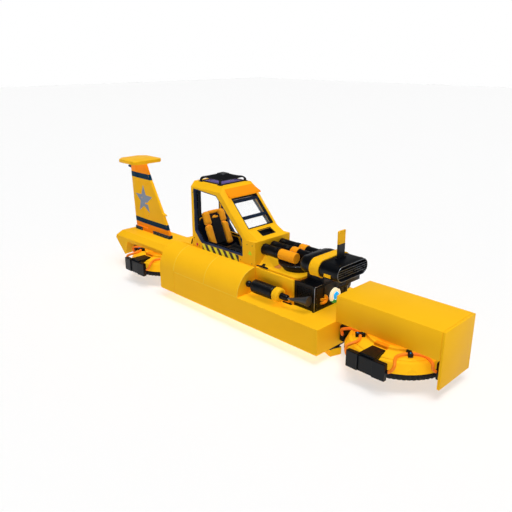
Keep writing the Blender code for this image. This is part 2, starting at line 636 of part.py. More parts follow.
def make_rudder(paint, root):
    pivot = bpy.data.objects.new("rudder_pivot", None)
    bpy.context.scene.collection.objects.link(pivot)
    pivot.parent = root
    pivot.location = HINGE_FOOT
    steps = 8
    rings = []
    for z in (RUDDER_LOW, 0.535, RUDDER_HIGH):
        ring = []
        hinge = hinge_y(z) - HINGE_FOOT.y
        for i in range(steps + 1):
            angle = radians(90 + 180 * i / steps)
            ring.append((FIN_HALF * sin(angle), hinge + FIN_HALF * cos(angle), z - HINGE_FOOT.z))
        tail = trailing_y(z) - HINGE_FOOT.y
        ring.append((-0.012, tail, z - HINGE_FOOT.z))
        ring.append((0.012, tail, z - HINGE_FOOT.z))
        rings.append(ring)
    rudder = loft("rudder", rings, paint["yellow"], pivot)
    reach_high = (RUDDER_HIGH - HINGE_FOOT.z) / HINGE_AXIS.z
    reach_low = (RUDDER_LOW - HINGE_FOOT.z) / HINGE_AXIS.z
    pin = lathe("rudder_pin", [(reach_low - 0.035, PIN_RADIUS), (reach_high + 0.035, PIN_RADIUS)], Vector((0, 0, 0)),
                HINGE_AXIS, 16)
    work(rudder, pin, "UNION")


def make_stabiliser(paint, root):
    plan = STABILISER_HALF_PLAN + [(-x, y) for x, y in reversed(STABILISER_HALF_PLAN)]
    item = prism_z("stabiliser", plan, STABILISER_Z[0], STABILISER_Z[1], paint["yellow"], root)
    bevel(item, 0.015, 1)


def make_nose(paint, root):
    item = box("nose_box", (-BAY_HALF, BAY_HALF), (NOSE_BOW, HULL_BOW - GAP), (GAP, BAY_HEIGHT), paint["yellow"], root)
    bevel(item, EDGE_BEVEL)
    plate = box("bow_plate", (-BAY_HALF, BAY_HALF), (BOW_TIP, NOSE_BOW - GAP), (-HULL_DEPTH, BAY_HEIGHT),
                paint["yellow"], root)
    bevel(plate, EDGE_BEVEL)


def block_outline(quarter, grow=0.0):
    # Plan of one black block, reaching out along a quarter turn of the pad.
    reach = PAD_REACH["end" if quarter % 2 else "side"] + grow
    shoulder = reach - 0.015
    half = BLOCK_HALF + grow
    local = [(0.612 - grow, -0.155 - grow), (0.79 - grow, -0.165 - grow), (0.80 - grow, -half), (shoulder, -half),
             (reach, -0.12), (reach, 0.12), (shoulder, half), (0.80 - grow, half), (0.79 - grow, 0.165 + grow),
             (0.612 - grow, 0.155 + grow)]
    turn = quarter * pi / 2
    return [(r * cos(turn) - t * sin(turn), r * sin(turn) + t * cos(turn)) for r, t in local]


def hose_route(quarter):
    # From one block's side, up over the shell and down to the next block's side.
    start = (0.85, BLOCK_HALF + GAP, -0.25)
    rise = [(0.85, 0.40, -0.25), (0.845, 0.43, -0.225), (0.80, 0.455, -0.17), (0.70, 0.48, -0.125)]
    fall = [(y, x, z) for x, y, z in reversed(rise)]
    end = (start[1], start[0], start[2])
    turn = Matrix.Rotation(quarter * pi / 2, 3, "Z")
    path = [start] + smooth_path(rise + [(0.47, 0.47, -0.09)] + fall, 17) + [end]
    return [turn @ Vector(point) for point in path]


def make_pad(name, paint, root):
    pivot = bpy.data.objects.new(name + "_pad_pivot", None)
    bpy.context.scene.collection.objects.link(pivot)
    pivot.parent = root
    pivot.location = (0, PAD_STATIONS[name], 0)
    up = Vector((0, 0, 1))
    zero = Vector((0, 0, 0))

    profile = [(SHELL_LOW, SHELL_OUTER), (-0.19, 0.885), (-0.135, 0.82), (-0.105, 0.68), (-0.085, 0.50),
               (-0.085, 0.42), (-0.045, 0.40), (-0.045, 0.24), (-GAP, 0.22)]
    shell = lathe(name + "_pad_shell", profile, zero, up, 40, paint["yellow"], pivot)
    plenum = lathe("plenum", [(SHELL_LOW - 0.1, 0.86), (SHELL_LOW, 0.86), (-0.215, 0.845), (-0.165, 0.76),
                              (-0.145, 0.50), (-0.13, 0.20)], zero, up, 40)
    work(shell, plenum, "DIFFERENCE")
    bearing = lathe("fan_bearing", [(-0.19, 0.06), (-0.12, 0.06)], zero, up, 20)
    work(shell, bearing, "UNION")
    socket = lathe("bearing_socket", [(-0.25, 0.0215), (-0.155, 0.0215)], zero, up, 20)
    work(shell, socket, "DIFFERENCE")
    for quarter in range(4):
        pocket = prism_z("block_pocket", block_outline(quarter, 0.0006), BLOCK_Z[0] - 0.1, BLOCK_Z[1] + 0.0006)
        work(shell, pocket, "DIFFERENCE")
        hose = tube("hose", hose_route(quarter), HOSE_RADIUS)
        work(shell, hose, "UNION")

    ring = lathe(name + "_pad_skirt", [(BLOCK_Z[0], SKIRT_OUTER - 0.02), (BLOCK_Z[0] + 0.03, SKIRT_OUTER),
                                       (SHELL_LOW - GAP, SKIRT_OUTER)], zero, up, 40, paint["rubber"], pivot)
    hollow = lathe("skirt_hollow", [(BLOCK_Z[0] - 0.1, SKIRT_INNER), (SHELL_LOW + 0.1, SKIRT_INNER)], zero, up, 40)
    work(ring, hollow, "DIFFERENCE")
    for quarter in range(4):
        block = prism_z("pad_block", block_outline(quarter), BLOCK_Z[0], BLOCK_Z[1])
        work(ring, block, "UNION")
    make_fan(name, paint, pivot)


def make_fan(name, paint, pivot):
    up = Vector((0, 0, 1))
    profile = [(FAN_Z - 0.05, 0.03), (FAN_Z - 0.04, 0.08), (FAN_Z + 0.04, 0.08), (FAN_Z + 0.05, 0.05),
               (FAN_Z + 0.06, 0.02), (-0.155 - GAP, 0.02)]
    fan = lathe(name + "_lift_fan", profile, Vector((0, 0, 0)), up, 20, paint["grey"], pivot)
    pitch = radians(28)
    for i in range(FAN_BLADES):
        turn = Matrix.Rotation(2 * pi * i / FAN_BLADES, 3, "Z")
        rings = []
        for radius, chord, twist in ((0.06, 0.045, 1.2), (FAN_RADIUS, 0.075, 0.6)):
            lean = Matrix.Rotation(pitch * twist, 3, "X")
            section = [(-chord, -0.004), (chord, -0.004), (chord, 0.004), (-chord, 0.004)]
            ring = []
            for y, z in section:
                point = lean @ Vector((0, y, z))
                ring.append(turn @ Vector((radius, point.y, FAN_Z + point.z)))
            rings.append(ring)
        work(fan, loft("fan_blade", rings), "UNION")


def main():
    clear_scene()
    paint = make_materials()
    root = bpy.data.objects.new("craft_datum", None)
    bpy.context.scene.collection.objects.link(root)
    root.location = (0, -MID_LENGTH, FOOT_DROP)
    make_hull(paint, root)
    make_feet(paint, root)
    make_pods(paint, root)
    make_fore_body(paint, root)
    make_machinery(paint, root)
    make_tubes(paint, root)
    make_duct(paint, root)
    make_struts(paint, root)
    make_cab(paint, root)
    make_cab_glass(paint, root)
    make_visor(paint, root)
    make_roof_guard(paint, root)
    make_interior(paint, root)
    make_seat(paint, root)
    make_steering(paint, root)
    make_tail_deck(paint, root)
    make_fin(paint, root)
    make_rudder(paint, root)
    make_stabiliser(paint, root)
    make_nose(paint, root)
    for name in PAD_STATIONS:
        make_pad(name, paint, root)


main()
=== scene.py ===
# Looks of the yellow modular hovercraft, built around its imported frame.
from math import cos, pi, radians, sin, sqrt

import bmesh
import bpy
from mathutils import Matrix, Vector


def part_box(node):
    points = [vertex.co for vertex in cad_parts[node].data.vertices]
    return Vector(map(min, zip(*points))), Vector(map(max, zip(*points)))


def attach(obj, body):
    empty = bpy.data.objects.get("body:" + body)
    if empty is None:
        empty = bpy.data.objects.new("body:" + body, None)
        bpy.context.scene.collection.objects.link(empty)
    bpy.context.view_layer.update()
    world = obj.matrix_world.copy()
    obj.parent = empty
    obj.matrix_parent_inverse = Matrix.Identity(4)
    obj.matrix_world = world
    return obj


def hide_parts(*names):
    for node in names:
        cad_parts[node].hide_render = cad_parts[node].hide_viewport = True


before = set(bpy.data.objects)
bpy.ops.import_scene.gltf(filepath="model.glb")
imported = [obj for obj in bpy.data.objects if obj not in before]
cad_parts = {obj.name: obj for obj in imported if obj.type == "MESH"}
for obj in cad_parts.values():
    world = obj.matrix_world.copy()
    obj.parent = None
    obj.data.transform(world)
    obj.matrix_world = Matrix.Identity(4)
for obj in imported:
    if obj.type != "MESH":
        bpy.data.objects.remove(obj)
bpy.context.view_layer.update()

# Stations count from the cab's front wall (y), the deck (z) and the centreline (x), in metres.
datum = Vector((0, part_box("side_pod_right")[0].y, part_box("hull")[1].z))
forward = Vector((0, -1, 0))
upward = Vector((0, 0, 1))
downward = Vector((0, 0, -1))
seam = 0.0015  # half of the joint between two panels
sides = (("Right", -1), ("Left", 1))


# Node kinds that recur
noise = "ShaderNodeTexNoise"
wave = "ShaderNodeTexWave"
maths = "ShaderNodeMath"
split = "ShaderNodeSeparateXYZ"


# Stage

def toLinear(hexColour):
    channels = [int(hexColour[i:i + 2], 16) / 255 for i in (1, 3, 5)]
    return [c / 12.92 if c <= 0.04045 else ((c + 0.055) / 1.055) ** 2.4 for c in channels] + [1.0]


def addNode(tree, kind, settings=None, links=None, feeds=None):
    # Settings are sockets, properties, or a ramp's soft stops or hard bands. A link may come from a whole
    # node, which means its first output, and feeds lead from this node's outputs to other sockets.
    node = tree.nodes.new(kind)
    for key, value in (settings or {}).items():
        if key in ("stops", "bands"):
            ramp = node.color_ramp
            ramp.interpolation = "CONSTANT" if key == "bands" else "LINEAR"
            while len(ramp.elements) < len(value):
                ramp.elements.new(0.5)
            for element, (position, hexColour) in zip(ramp.elements, value):
                element.position = position
                element.color = toLinear(hexColour)
        elif isinstance(key, int) or key in node.inputs:
            node.inputs[key].default_value = value
        else:
            setattr(node, key, value)
    for key, source in (links or {}).items():
        tree.links.new(source.outputs[0] if isinstance(source, bpy.types.Node) else source, node.inputs[key])
    for key, target in (feeds or {}).items():
        tree.links.new(node.outputs[key], target)
    return node


def startMaterial(name, hexColour, roughness, metallic=0.0, **settings):
    # Gives the material, and its tree, its shader's inputs and the object's own coordinates together.
    material = bpy.data.materials.new(name)
    material.use_nodes = True
    tree = material.node_tree
    ports = tree.nodes["Principled BSDF"].inputs
    ports["Base Color"].default_value = toLinear(hexColour)
    ports["Roughness"].default_value = roughness
    ports["Metallic"].default_value = metallic
    for key, value in settings.items():
        ports[key.replace("_", " ")].default_value = value
    return material, (tree, ports, addNode(tree, "ShaderNodeTexCoord").outputs["Object"])


def addGrain(surface, kind, settings, strength, depth):
    # The fine pattern that catches the light, its depth in metres.
    tree, ports, place = surface
    grain = addNode(tree, kind, settings, {"Vector": place})
    addNode(tree, "ShaderNodeBump", {"Strength": strength, "Distance": depth},
            {"Height": grain.outputs["Fac"]}, {0: ports["Normal"]})


def addCloud(surface, scale, detail, stops=None, rough=None):
    # A broad cloud that drifts the tone between two colours, or the roughness between two values.
    tree, ports, place = surface
    cloud = addNode(tree, noise, {"Scale": scale, "Detail": detail}, {"Vector": place})
    if stops:
        addNode(tree, "ShaderNodeValToRGB", {"stops": stops}, {"Fac": cloud}, {0: ports["Base Color"]})
    if rough:
        addNode(tree, "ShaderNodeMapRange", {3: rough[0], 4: rough[1]}, {0: cloud}, {0: ports["Roughness"]})


def newObject(name, data):
    item = bpy.data.objects.new(name, data)
    bpy.context.scene.collection.objects.link(item)
    return item


def makeCamera():
    view = {"place": (-8.1117, -8.1256, 5.1677), "pitch": 19.119, "yaw": 45.04, "lens": 41.07, "sensor": 36}
    camera = bpy.data.cameras.new("photoCamera")
    camera.lens = view["lens"]
    camera.sensor_width = view["sensor"]
    camera.clip_end = 300
    item = newObject("photoCamera", camera)
    item.location = view["place"]
    item.rotation_euler = (radians(90 - view["pitch"]), 0, radians(-view["yaw"]))
    bpy.context.scene.camera = item


def makeStage():
    stage = {"half": 90.0, "floor": "#FBFBFB"}
    mesh = bpy.data.meshes.new("studioFloor")
    r = stage["half"]
    mesh.from_pydata([(-r, -r, 0), (r, -r, 0), (r, r, 0), (-r, r, 0)], [], [(0, 1, 2, 3)])
    floor = newObject("studioFloor", mesh)
    # Matt white studio paint: one even tone, with the faint roller texture of a painted floor.
    material, surface = startMaterial("white_studio_paint", stage["floor"], 0.95)
    addGrain(surface, noise, {"Scale": 400.0}, 0.1, 0.0002)
    mesh.materials.append(material)


def makeLights():
    lights = {"sky": "#5E5E5E", "wall": "#FFFFFF", "wallHigh": (0.09, 0.17), "sunFrom": (-0.06, -0.17, 0.98),
              "suns": (("softKey", 0.95, 30, True), ("softFill", 1.95, 30, False))}
    # A white studio wall low all round, and a dim soft ceiling above it.
    world = bpy.data.worlds.new("studioRoom")
    bpy.context.scene.world = world
    world.use_nodes = True
    tree = world.node_tree
    aim = addNode(tree, "ShaderNodeTexCoord").outputs["Generated"]
    axes = addNode(tree, split, links={0: aim})
    low, high = lights["wallHigh"]
    addNode(tree, "ShaderNodeValToRGB", {"stops": [(low, lights["wall"]), (high, lights["sky"])]},
            {"Fac": axes.outputs["Z"]}, {0: tree.nodes["Background"].inputs["Color"]})
    # Two overhead banks from the same side: the second one fills the shadows of the first.
    for name, power, size, shaded in lights["suns"]:
        sun = bpy.data.lights.new(name, "SUN")
        sun.energy = power
        sun.angle = radians(size)
        sun.use_shadow = shaded
        bank = newObject(name, sun)
        bank.rotation_euler = Vector(lights["sunFrom"]).to_track_quat("Z", "Y").to_euler()


makeCamera()
makeStage()
makeLights()
bpy.context.scene.view_settings.view_transform = "Standard"
print("camera, stage and lights made")


# Materials

def pebbled(surface, size, depth, rough, stops=None):
    # A sprayed or moulded skin: pebbles of a real size in metres, and a slow drift of gloss and tone.
    addGrain(surface, noise, {"Scale": 1 / size, "Detail": 3.0}, 0.6, depth)
    addCloud(surface, 1.6, 4.0, stops, rough)


def enamel(name, hexColour, hexDeep):
    # Sprayed polyurethane enamel on aluminium: an even coat, a faint orange peel, hardly any drift in tone.
    material, surface = startMaterial(name, hexColour, 0.42, IOR=1.4, Specular_IOR_Level=0.06)
    pebbled(surface, 0.009, 0.0002, (0.36, 0.46), [(0.32, hexDeep), (0.60, hexColour)])
    return material


def coated(name, hexColour, hexWorn, roughness, grain=0.003, gloss=0.2):
    # Powder coat, moulded plastic or rubber: finely pebbled, a little greyer where it is rubbed.
    material, surface = startMaterial(name, hexColour, roughness, Specular_IOR_Level=gloss)
    rough = (roughness - 0.06, roughness + 0.08)
    pebbled(surface, grain, 0.0003, rough, [(0.40, hexColour), (0.75, hexWorn)])
    return material


def castAlloy(name, hexColour, hexDeep, roughness):
    # Turned or extruded alloy: fine tool lines a millimetre apart, drawn at 2 mm so that they show.
    material, surface = startMaterial(name, hexColour, roughness, 1.0)
    addGrain(surface, wave, {"bands_direction": "Y", "Scale": 1 / 0.002 / 6.28, "Distortion": 1.5}, 0.25,
             0.0002)
    addCloud(surface, 6.0, 4.0, [(0.35, hexDeep), (0.65, hexColour)])
    return material


def starMask(tree, place, star):
    # The angle folds into one tenth of a turn, where one straight edge runs from a tip to a hollow.
    fold = pi / 5
    tip = Vector((star["tip"], 0))
    hollow = Vector((star["hollow"] * cos(fold), star["hollow"] * sin(fold)))
    normal = Vector((tip.y - hollow.y, hollow.x - tip.x))
    normal = -normal.normalized() if normal.dot(tip) < 0 else normal.normalized()
    centre = Vector((0, star["y"], star["z"])) + datum
    axes = addNode(tree, split, links={0: place})
    across = addNode(tree, maths, {"operation": "SUBTRACT", 1: centre.y}, {0: axes.outputs["Y"]})
    rise = addNode(tree, maths, {"operation": "SUBTRACT", 1: centre.z}, {0: axes.outputs["Z"]})
    angle = addNode(tree, maths, {"operation": "ARCTAN2"}, {0: across, 1: rise})
    positive = addNode(tree, maths, {"operation": "ADD", 1: 21 * fold}, {0: angle})
    sector = addNode(tree, maths, {"operation": "MODULO", 1: 2 * fold}, {0: positive})
    middle = addNode(tree, maths, {"operation": "SUBTRACT", 1: fold}, {0: sector})
    folded = addNode(tree, maths, {"operation": "ABSOLUTE"}, {0: middle})
    flat = addNode(tree, "ShaderNodeCombineXYZ", links={0: across, 1: rise})
    reach = addNode(tree, "ShaderNodeVectorMath", {"operation": "LENGTH"}, {0: flat})
    alongPart = addNode(tree, maths, {"operation": "COSINE"}, {0: folded})
    sidePart = addNode(tree, maths, {"operation": "SINE"}, {0: folded})
    aimed = addNode(tree, maths, {"operation": "MULTIPLY", 1: normal.x}, {0: alongPart})
    leaned = addNode(tree, maths, {"operation": "MULTIPLY_ADD", 1: normal.y}, {0: sidePart, 2: aimed})
    distance = addNode(tree, maths, {"operation": "MULTIPLY"}, {0: reach.outputs["Value"], 1: leaned})
    return addNode(tree, maths, {"operation": "LESS_THAN", 1: normal.dot(tip)}, {0: distance})


def finPaint():
    # The fin's enamel with masked bands, and one plain grey star across fin and rudder on both sides.
    paint = {"high": 2.1, "star": {"y": 4.39, "z": 1.03, "tip": 0.375, "hollow": 0.155}, "grey": "#8E9CB4",
             "bands": [(0.0, "#FF9914"), (0.415, "#00304E"), (0.54, "#FFC11C"), (1.555, "#00304E"),
                       (1.685, "#FF9914")]}
    material, surface = startMaterial("banded_fin_enamel", "#FFC11C", 0.42, IOR=1.4, Specular_IOR_Level=0.06)
    pebbled(surface, 0.009, 0.0002, (0.36, 0.46))
    tree, ports, place = surface
    axes = addNode(tree, split, links={0: place})
    high = paint["high"]
    level = addNode(tree, "ShaderNodeMapRange", {1: datum.z, 2: datum.z + high}, {0: axes.outputs["Z"]})
    bands = addNode(tree, "ShaderNodeValToRGB", {"bands": [(z / high, tone) for z, tone in paint["bands"]]},
                    {"Fac": level})
    mask = starMask(tree, place, paint["star"])
    addNode(tree, "ShaderNodeMix", {"data_type": "RGBA", 7: toLinear(paint["grey"])}, {0: mask, 6: bands},
            {2: ports["Base Color"]})
    return material


def hazardPaint():
    # Slanted warning bands, 190 mm apart along the sill, screen printed on a thin plate.
    material, surface = startMaterial("slanted_band_paint", "#D8D800", 0.42)
    pebbled(surface, 0.004, 0.0001, (0.38, 0.5))
    tree, ports, place = surface
    axes = addNode(tree, split, links={0: place})
    height, length = axes.outputs["Z"], axes.outputs["Y"]
    slant = addNode(tree, maths, {"operation": "MULTIPLY_ADD", 1: -0.7}, {0: height, 2: length})
    pitches = addNode(tree, maths, {"operation": "MULTIPLY", 1: 1 / 0.19}, {0: slant})
    share = addNode(tree, maths, {"operation": "FRACT"}, {0: pitches})
    addNode(tree, "ShaderNodeValToRGB", {"bands": [(0.0, "#06080C"), (0.5, "#F0E800")]}, {"Fac": share},
            {0: ports["Base Color"]})
    return material


def paneGlass(name, hexColour, roughness, weight, cover=1.0):
    # Laminated safety glass: clear, a slight body tint, smears that only the gloss shows.
    material, surface = startMaterial(name, hexColour, roughness, IOR=1.45, Transmission_Weight=weight,
                                      Alpha=cover)
    addCloud(surface, 9.0, 5.0, rough=(roughness, roughness + 0.06))
    return material


def lampGlass(name, hexColour, glow):
    # Moulded acrylic lens over a small bulb: ribs 8 mm apart, a low glow of its own.
    material, surface = startMaterial(name, hexColour, 0.12, IOR=1.49, Emission_Strength=glow,
                                      Emission_Color=toLinear(hexColour))
    addGrain(surface, wave, {"bands_direction": "X", "Scale": 1 / 0.008 / 6.28}, 0.4, 0.0008)
    return material


def seatCloth(name, hexColour, hexDeep):
    # Coarse woven polyester: threads 2 mm apart, drawn at 5 mm so that they show, with a soft sheen.
    material, surface = startMaterial(name, hexColour, 0.85, Sheen_Weight=0.1, Sheen_Roughness=0.5,
                                      Specular_IOR_Level=0.15)
    tree, ports, place = surface
    threads = [addNode(tree, wave, {"bands_direction": way, "Scale": 1 / 0.005 / 6.28}, {"Vector": place})
               for way in ("X", "DIAGONAL")]
    weave = addNode(tree, maths, {"operation": "MAXIMUM"},
                    {i: thread.outputs["Fac"] for i, thread in enumerate(threads)})
    addNode(tree, "ShaderNodeBump", {"Strength": 0.5, "Distance": 0.0008}, {"Height": weave},
            {0: ports["Normal"]})
    addCloud(surface, 12.0, 4.0, [(0.35, hexDeep), (0.65, hexColour)])
    return material


yellowEnamel = enamel("yellow_sprayed_enamel", "#FFC11C", "#FDBE19")
orangeEnamel = enamel("orange_sprayed_enamel", "#FF9914", "#FC9411")
# A lighter copy of the orange enamel for the sleeve, couplings and shackle: painted light, so that round
# parts look as bright as the flat visor.
litOrangeEnamel = enamel("lit_orange_enamel", "#FFA81E", "#FFA41A")
# Paler than the yellow enamel: a painted highlight on the joint beads.
highlightSealant = coated("pale_highlight_sealant", "#FFDC4A", "#FAD23C", 0.5, 0.004)
finEnamel = finPaint()
hazardPlate = hazardPaint()
blackCoat = coated("black_powder_coat", "#03050A", "#070B12", 0.34, gloss=0.22)
blackPlastic = coated("black_moulded_plastic", "#040508", "#0A0C10", 0.5, 0.004, 0.22)
padRubber = coated("black_skirt_rubber", "#08090B", "#151618", 0.58, 0.006, 0.25)
navyLining = coated("dark_navy_lining", "#031226", "#08203A", 0.6, 0.004)
navyPaint = coated("dark_blue_paint", "#00324F", "#063A58", 0.4)
orangeHose = coated("orange_hose_rubber", "#FF8C1E", "#F88014", 0.45, 0.005)
greyAlloy = castAlloy("grey_satin_alloy", "#45474C", "#3A3B3F", 0.36)
coneCoat = coated("grey_hammered_coat", "#2E3034", "#3C3E42", 0.34, 0.004, 0.5)
# The cream ring round the lamp glows of its own: painted light, a lit halo round the lens.
glowingBezel = lampGlass("cream_glowing_reflector_ring", "#FFF0C8", 0.5)
recessPaint = coated("tan_primer_paint", "#F0A244", "#E8924A", 0.5)
rimAlloy = castAlloy("light_edge_alloy", "#9AA0A8", "#878D95", 0.34)
blueSeal = coated("blue_grey_rubber_seal", "#1A2540", "#33415E", 0.45)
limeMark = coated("lime_marker_paint", "#C4E400", "#BCDA00", 0.45)
redMark = lampGlass("red_marker_lens", "#D0002C", 0.1)
greenMark = lampGlass("green_marker_lens", "#10B060", 0.15)
cyanLens = lampGlass("cyan_lamp_lens", "#10A8F4", 0.6)
clearPane = paneGlass("clear_laminated_glass", "#F0FAFC", 0.02, 0.0, 0.06)
lilacPane = paneGlass("lilac_tinted_glass", "#9A8CCB", 0.08, 0.55)
orangeCloth = seatCloth("orange_woven_cloth", "#FFB01E", "#FFA416")
blackCloth = seatCloth("black_woven_cloth", "#0C0E12", "#07080B")

print("materials made")


# Shapes, each a list of rings and whether its two ends are closed

def turns(count, offset=0.0):
    return [2 * pi * (i + offset) / count for i in range(count)]


def onPlane(axis, a, b, along):
    # Outlines lie across an axis: (y, z) for x, (x, z) for y, (x, y) for z.
    return {"x": (along, a, b), "y": (a, along, b), "z": (a, b, along)}[axis]


def prism(outline, axis, low, high):
    return [[onPlane(axis, a, b, along) for a, b in outline] for along in (low, high)], True


def rectangle(x, y):
    return [(x[0], y[0]), (x[1], y[0]), (x[1], y[1]), (x[0], y[1])]


def box(x, y, z):
    return prism(rectangle(x, y), "z", *z)


def roundedPlan(x, y, radius, steps=5):
    return roundedOutline(rectangle(x, y), radius, steps)


def border(outer, inner, axis, low, high):
    # A flat loop between two outlines with equal counts.
    return [[onPlane(axis, a, b, along) for a, b in outline] for outline, along in
            ((outer, low), (outer, high), (inner, high), (inner, low), (outer, low))], False


def stack(outline, levels):
    # One plan at several heights, drawn in by its own distance at each.
    return [[(x, y, z) for x, y in insetOutline(outline, inset)] for inset, z in levels], True


def turned(profile, start, axis, steps=48):
    # Profile points are (distance along the axis, radius).
    turn = axis.to_track_quat("Z", "Y").to_matrix()
    return [[Vector(start) + turn @ Vector((radius * cos(a), radius * sin(a), along))
             for a in turns(steps, 0.5)] for along, radius in profile], True


def hoop(section, start, axis, steps=64):
    # A closed section of (distance along, radius) turned once round the axis.
    turn = axis.to_track_quat("Z", "Y").to_matrix()
    rows = [[Vector(start) + turn @ Vector((r * cos(a), r * sin(a), s)) for s, r in section]
            for a in turns(steps)]
    return rows + [rows[0]], False


def roundSection(centre, radius, sides=12):
    # A wire's section for a hoop: centre is (distance along, hoop radius).
    return [(centre[0] + radius * sin(a), centre[1] + radius * cos(a)) for a in turns(sides)]


def rod(path, radius, sides=12):
    # A round bar along a path, of one radius or of one for each point.
    points = [Vector(point) for point in path]
    last = len(points) - 1
    side = (points[1] - points[0]).orthogonal().normalized()
    rings = []
    for i, point in enumerate(points):
        along = (points[min(i + 1, last)] - points[max(i - 1, 0)]).normalized()
        side = (side - along * side.dot(along)).normalized()
        other = along.cross(side)
        r = radius[i] if isinstance(radius, list) else radius
        rings.append([point + (side * cos(a) + other * sin(a)) * r for a in turns(sides)])
    return rings, True


def smoothPath(points, count):
    knots = [Vector(point) for point in points]
    knots = [2 * knots[0] - knots[1]] + knots + [2 * knots[-1] - knots[-2]]
    spans = len(knots) - 3
    path = []
    for step in range(count):
        place = spans * step / (count - 1)
        i = min(int(place), spans - 1)
        t = place - i
        a, b, c, d = knots[i:i + 4]
        tail = (2 * a - 5 * b + 4 * c - d) * t * t + (3 * b - a - 3 * c + d) * t ** 3
        path.append((2 * b + (c - a) * t + tail) / 2)
    return path


def arcPoints(centre, radius, start, end, count):
    angles = [radians(start + (end - start) * i / count) for i in range(count + 1)]
    return [(centre[0] + radius * cos(a), centre[1] + radius * sin(a)) for a in angles]


def stadiumPoints(half, halfHeight, z, steps=14):
    reach = half - halfHeight
    right = arcPoints((reach, z), halfHeight, -90, 90, steps)
    return right + arcPoints((-reach, z), halfHeight, 90, 270, steps)


def roundedOutline(corners, radius, steps=5):
    # Each corner of the outline becomes a short curve.
    points = []
    for i, corner in enumerate(corners):
        corner = Vector(corner)
        back = Vector(corners[i - 1]) - corner
        ahead = Vector(corners[(i + 1) % len(corners)]) - corner
        reach = min(radius, back.length * 0.45, ahead.length * 0.45)
        start = corner + back.normalized() * reach
        end = corner + ahead.normalized() * reach
        for k in range(steps + 1):
            t = k / steps
            points.append(tuple(start * (1 - t) ** 2 + corner * 2 * t * (1 - t) + end * t * t))
    return points


def insetOutline(outline, distance):
    count = len(outline)
    area = sum(outline[i - 1][0] * outline[i][1] - outline[i][0] * outline[i - 1][1] for i in range(count))
    inward = 1 if area > 0 else -1
    moved = []
    for i in range(count):
        here = Vector(outline[i])
        before = (here - Vector(outline[i - 1])).normalized()
        after = (Vector(outline[(i + 1) % count]) - here).normalized()
        normal = (Vector((-before.y, before.x)) + Vector((-after.y, after.x))) * inward
        moved.append(tuple(here + normal * distance / max(normal.length_squared / 2, 0.3)))
    return moved


# Pieces from shapes or from a node's own mesh

def settle(item, body, stands):
    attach(item, body)
    if stands:
        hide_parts(stands)


def makeItem(name, mesh, material, smooth):
    mesh.shade_smooth()
    mesh.set_sharp_from_angle(angle=radians(smooth))
    if not mesh.materials:
        mesh.materials.append(material)
    return newObject(name, mesh)


def evaluatedMesh(item):
    # The mesh that the item's modifiers make, which then come off.
    bpy.context.view_layer.update()
    mesh = bpy.data.meshes.new_from_object(item.evaluated_get(bpy.context.evaluated_depsgraph_get()))
    item.modifiers.clear()
    return mesh


def meshFrom(name, bm):
    mesh = bpy.data.meshes.new(name)
    bm.to_mesh(mesh)
    bm.free()
    return mesh


def joinShapes(shapes):
    # All shapes of a piece in one mesh, faces outwards, moved to its place in the frame.
    bm = bmesh.new()
    for rings, capped in shapes:
        rows = [[bm.verts.new(point) for point in ring] for ring in rings]
        count = len(rows[0])
        for low, high in zip(rows, rows[1:]):
            for i in range(count):
                j = (i + 1) % count
                bm.faces.new((low[i], low[j], high[j], high[i]))
        if capped:
            bm.faces.new(rows[0][::-1])
            bm.faces.new(rows[-1])
    bmesh.ops.remove_doubles(bm, verts=bm.verts[:], dist=0.00005)
    bmesh.ops.recalc_face_normals(bm, faces=bm.faces[:])
    bmesh.ops.translate(bm, vec=datum, verts=bm.verts[:])
    return bm


def finishPiece(name, bm, material, body, stands, bevel, smooth):
    item = makeItem(name, meshFrom(name, bm), material, smooth)
    if bevel:
        edges = item.modifiers.new("edges", "BEVEL")
        edges.width = bevel
        edges.segments = 2
        edges.limit_method = "ANGLE"
        edges.angle_limit = radians(38)
        edges.harden_normals = True
    settle(item, body, stands)


def makePiece(name, material, shapes, body="craft", stands=None, bevel=0.0, smooth=35):
    finishPiece(name, joinShapes(shapes), material, body, stands, bevel, smooth)


def polishNode(node, name, material, bevel=0.004, body="craft", smooth=32):
    # A copy of a node's own mesh: doubles merged, flat triangles rejoined, then its edges rounded.
    bm = bmesh.new()
    bm.from_mesh(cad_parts[node].data)
    bmesh.ops.remove_doubles(bm, verts=bm.verts[:], dist=0.00012)
    bmesh.ops.dissolve_limit(bm, angle_limit=radians(0.5), verts=bm.verts[:], edges=bm.edges[:])
    finishPiece(name, bm, material, body, node, bevel, smooth)


# Repeats by Geometry Nodes

def startTree(name, inputs):
    tree = bpy.data.node_groups.new(name, "GeometryNodeTree")
    tree.interface.new_socket("Geometry", in_out="INPUT", socket_type="NodeSocketGeometry")
    keys = {}
    for label, value in inputs.items():
        kind = "NodeSocketInt" if isinstance(value, int) else "NodeSocketFloat"
        socket = tree.interface.new_socket(label, in_out="INPUT", socket_type=kind)
        socket.default_value = value
        keys[label] = socket.identifier
    tree.interface.new_socket("Geometry", in_out="OUTPUT", socket_type="NodeSocketGeometry")
    return tree, keys, addNode(tree, "NodeGroupInput")


def closeTree(tree, entry, shape, material):
    # Every spot carries its turn as an attribute, so the shape lands on each with its own aim.
    turn = addNode(tree, "GeometryNodeInputNamedAttribute", {"data_type": "FLOAT_VECTOR", "Name": "turn"})
    aim = addNode(tree, "FunctionNodeEulerToRotation", links={0: turn.outputs["Attribute"]})
    placed = addNode(tree, "GeometryNodeInstanceOnPoints",
                     links={"Points": entry.outputs["Geometry"], "Instance": shape, "Rotation": aim})
    real = addNode(tree, "GeometryNodeRealizeInstances", links={0: placed})
    painted = addNode(tree, "GeometryNodeSetMaterial", {"Material": material}, {"Geometry": real})
    addNode(tree, "NodeGroupOutput", links={0: painted})


